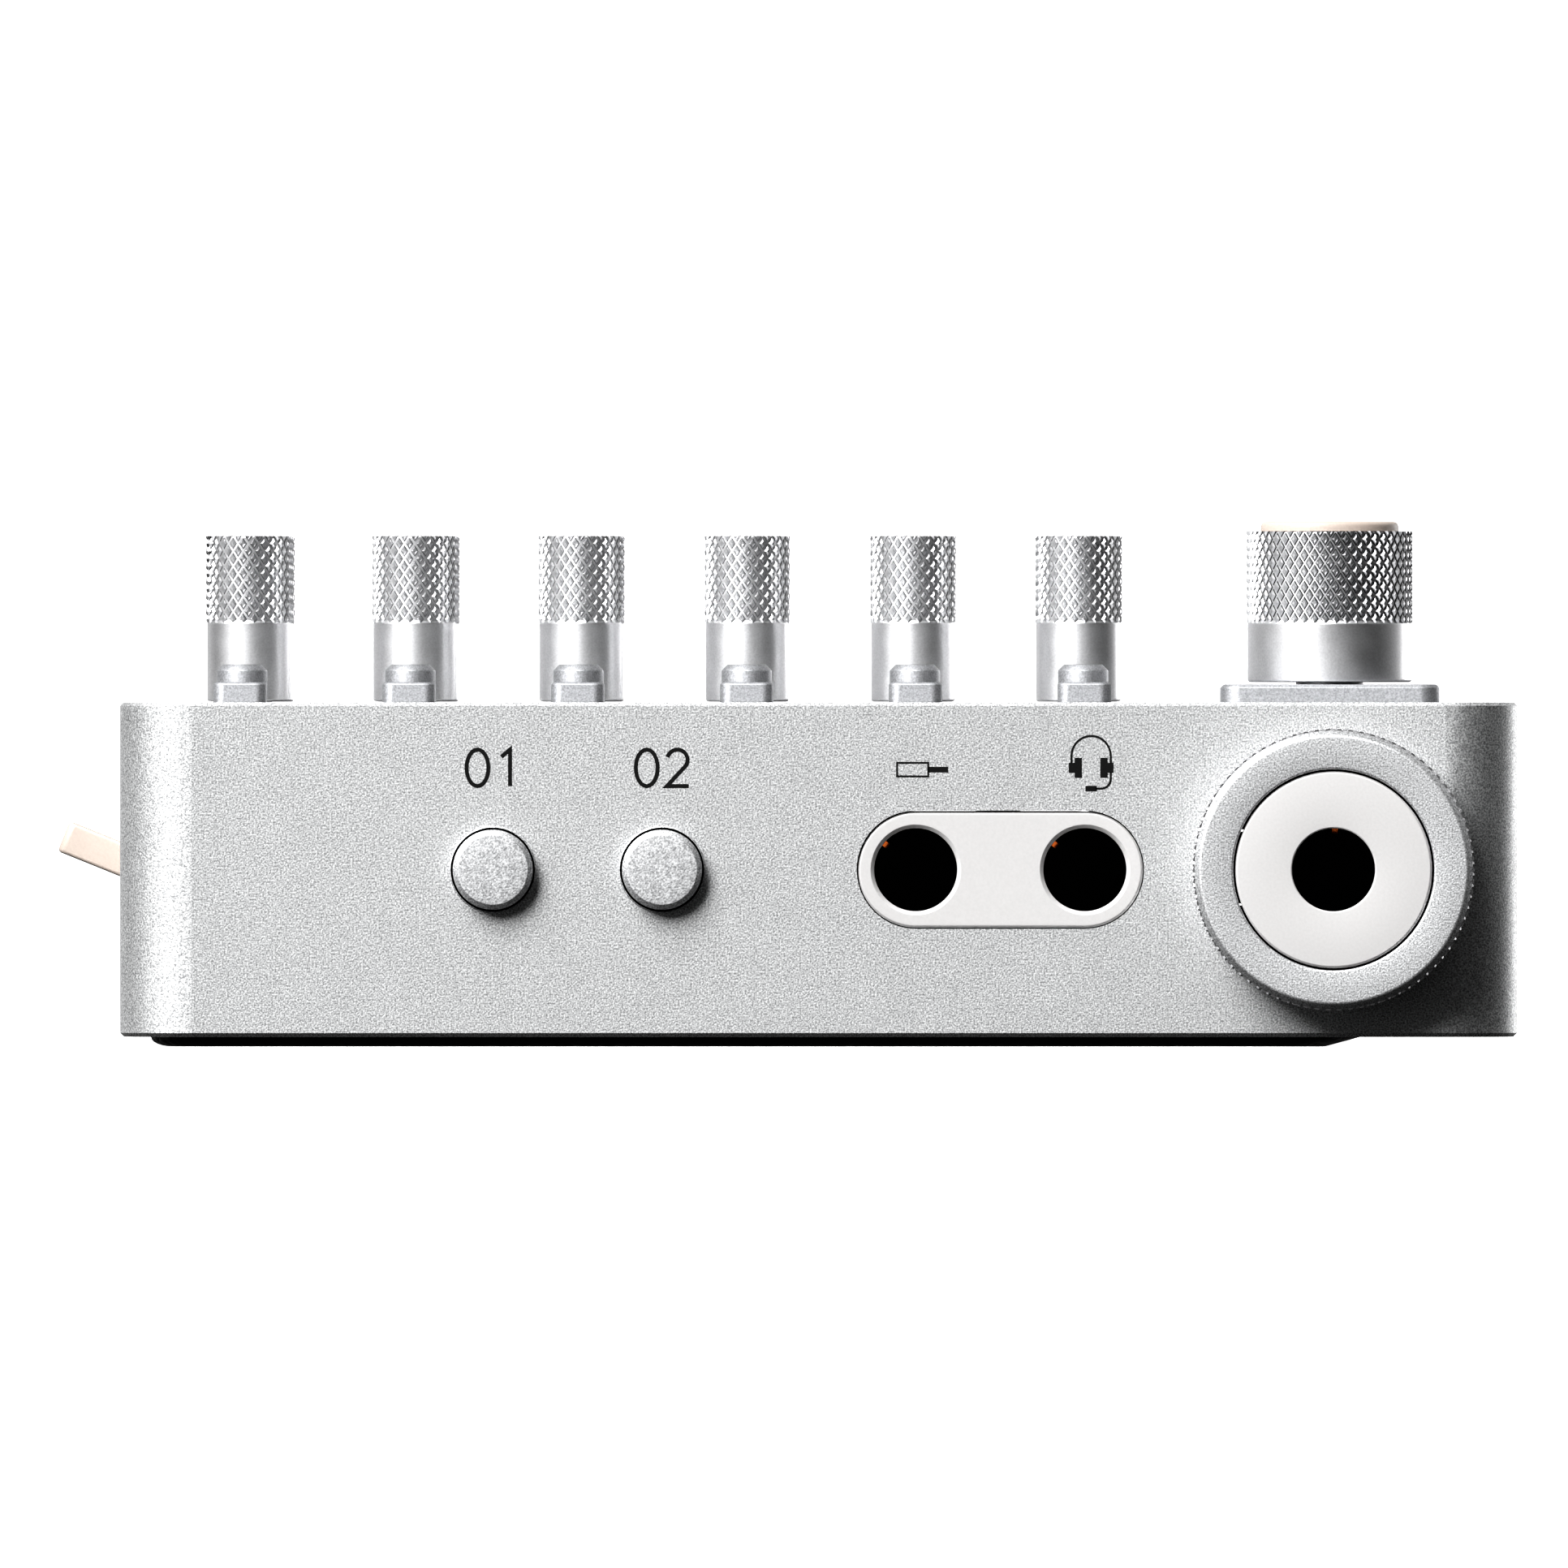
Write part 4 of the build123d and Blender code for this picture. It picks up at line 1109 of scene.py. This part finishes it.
def make_display_marks():
    """Six plain level bars over a base line, with a slider above."""
    glass_top = box_mm("display_glass")[1].z
    centre = centre_mm("display_glass")
    bar_spacing = 1.35
    bar_width = 0.7
    bars_y = -4.4
    slider_y = 4.5
    bm = bmesh.new()
    for channel in CHANNELS:
        x = (channel - 3.5) * bar_spacing
        level = 3.0 + 1.8 * sin(channel * 1.9)
        block(bm, x, bars_y + level / 2, bar_width, level)
        block(bm, x, 2.4, bar_width, 0.14)
    block(bm, 0, bars_y - 0.35, 7.6, 0.16)
    block(bm, 0, slider_y, 7.2, 0.16)
    block(bm, -1.4, slider_y, 0.5, 1.1)
    finish_print(bm, "display_marks", (centre.x, centre.y, glass_top), UPRIGHT, SCREEN)


# ---------------------------------------------------------------- lights, floor and camera

SOFTBOX = {"azimuth": -36, "height": 41, "size": (0.46, 0.72), "radiance": 15.8}
RIM_PANEL = {"azimuth": 143, "height": 0, "size": (0.40, 0.6), "radiance": 4.0}

# Brightness of the studio's surfaces: a pale back wall, a dimmer left wall, a white card beside the softbox,
# and black flags from the front round to the right.
BACK_WALL = 0.50
LEFT_WALL = 0.18
WHITE_CARD = 0.45
BLACK_FLAG = 0.02
ROOM_CEILING = 0.40
ROOM_UNDERSIDE = 0.03

# Where they stand round the horizon, by azimuth in degrees. 0 is the front and 90 the right.
ROOM = (
    (-180, BACK_WALL),
    (-140, BACK_WALL),
    (-100, LEFT_WALL),
    (-60, WHITE_CARD),
    (-20, BLACK_FLAG),
    (80, BLACK_FLAG),
    (125, BACK_WALL),
    (180, BACK_WALL),
)


def make_floor():
    """Pale paper under the object."""
    bm = bmesh.new()
    bmesh.ops.create_grid(bm, x_segments=1, y_segments=1, size=20)
    mesh = bpy.data.meshes.new("floor")
    bm.to_mesh(mesh)
    bm.free()
    floor = bpy.data.objects.new("floor", mesh)
    bpy.context.scene.collection.objects.link(floor)
    surface = Surface("floor paper", (0.95, 0.95, 0.95), 0.0, 0.9)
    surface.tint(surface.noise(400.0), 0.99, 1.01)
    surface.shader.inputs["Emission Color"].default_value = (1, 1, 1, 1)
    surface.shader.inputs["Emission Strength"].default_value = 0.75
    mesh.materials.append(surface.material)
    floor.visible_glossy = False
    floor.visible_diffuse = False


def make_panel(name, azimuth, height, size, radiance):
    """Rectangular source one metre away, facing the object, in the given direction in degrees."""
    around = radians(azimuth)
    above = radians(height)
    towards = Vector((sin(around) * cos(above), -cos(around) * cos(above), sin(above)))
    data = bpy.data.lights.new(name, "AREA")
    data.shape = "RECTANGLE"
    data.size, data.size_y = size
    data.energy = radiance * pi * data.size * data.size_y
    light = bpy.data.objects.new(name, data)
    bpy.context.scene.collection.objects.link(light)
    light.location = towards
    light.rotation_mode = "QUATERNION"
    light.rotation_quaternion = (-towards).to_track_quat("-Z", "Y")
    light.visible_camera = False


def make_world():
    """White backdrop for the camera, and a room of uneven brightness for everything else."""
    world = bpy.data.worlds.new("studio")
    bpy.context.scene.world = world
    world.use_nodes = True
    tree = world.node_tree
    nodes = tree.nodes
    link = tree.links.new
    backdrop = nodes["Background"]
    backdrop.inputs["Color"].default_value = (1, 1, 1, 1)
    backdrop.inputs["Strength"].default_value = 1.2
    direction = nodes.new("ShaderNodeTexCoord")
    axes = nodes.new("ShaderNodeSeparateXYZ")
    link(direction.outputs["Generated"], axes.inputs["Vector"])
    forward = nodes.new("ShaderNodeMath")
    forward.operation = "MULTIPLY"
    forward.inputs[1].default_value = -1
    link(axes.outputs["Y"], forward.inputs[0])
    azimuth = nodes.new("ShaderNodeMath")
    azimuth.operation = "ARCTAN2"
    link(axes.outputs["X"], azimuth.inputs[0])
    link(forward.outputs["Value"], azimuth.inputs[1])
    share = nodes.new("ShaderNodeMapRange")
    share.inputs["From Min"].default_value = -pi
    share.inputs["From Max"].default_value = pi
    link(azimuth.outputs["Value"], share.inputs["Value"])
    horizon = nodes.new("ShaderNodeValToRGB")
    ramp = horizon.color_ramp
    ramp.interpolation = "LINEAR"
    while len(ramp.elements) < len(ROOM):
        ramp.elements.new(1.0)
    for element, (angle, level) in zip(ramp.elements, ROOM):
        element.position = (angle + 180) / 360
        element.color = (level, level, level, 1)
    link(share.outputs["Result"], horizon.inputs["Fac"])
    level = horizon.outputs["Color"]
    for low, high, shade in ((0.45, 0.90, ROOM_CEILING), (-0.10, -0.45, ROOM_UNDERSIDE)):
        weight = nodes.new("ShaderNodeMapRange")
        weight.interpolation_type = "SMOOTHSTEP"
        weight.inputs["From Min"].default_value = low
        weight.inputs["From Max"].default_value = high
        link(axes.outputs["Z"], weight.inputs["Value"])
        mix = nodes.new("ShaderNodeMix")
        mix.data_type = "RGBA"
        mix.inputs[7].default_value = (shade, shade, shade, 1)
        link(weight.outputs["Result"], mix.inputs[0])
        link(level, mix.inputs[6])
        level = mix.outputs[2]
    room = nodes.new("ShaderNodeBackground")
    link(level, room.inputs["Color"])
    seen = nodes.new("ShaderNodeLightPath")
    switch = nodes.new("ShaderNodeMixShader")
    link(seen.outputs["Is Camera Ray"], switch.inputs["Fac"])
    link(room.outputs["Background"], switch.inputs[1])
    link(backdrop.outputs["Background"], switch.inputs[2])
    link(switch.outputs["Shader"], nodes["World Output"].inputs["Surface"])


def make_camera():
    """Long lens, looking straight at the front face."""
    data = bpy.data.cameras.new("camera")
    data.lens = 1660
    data.sensor_width = 36
    view_width = 69.5 * MM
    distance = view_width * data.lens / data.sensor_width
    data.clip_start = distance * 0.5
    data.clip_end = 200
    aim_x = -1.54 * MM
    aim_height = 11.65 * MM
    camera = bpy.data.objects.new("camera", data)
    bpy.context.scene.collection.objects.link(camera)
    camera.location = (aim_x, FRONT * MM - distance, aim_height)
    camera.rotation_euler = (radians(90), 0, 0)
    bpy.context.scene.camera = camera


make_knobs()
make_encoder()
make_volume_ring()
make_side_buttons()
make_deck_buttons()
make_fader_caps()
make_bezels()
make_output_face()
make_contacts()
make_base_pad()
make_power_lever()
make_front_marks()
make_deck_marks()
make_rear_marks()
make_display_marks()
make_floor()
make_world()
make_panel("softbox", **SOFTBOX)
make_panel("rim_panel", **RIM_PANEL)
make_camera()

bpy.context.scene.view_settings.view_transform = "Standard"
bpy.context.scene.view_settings.look = "High Contrast"
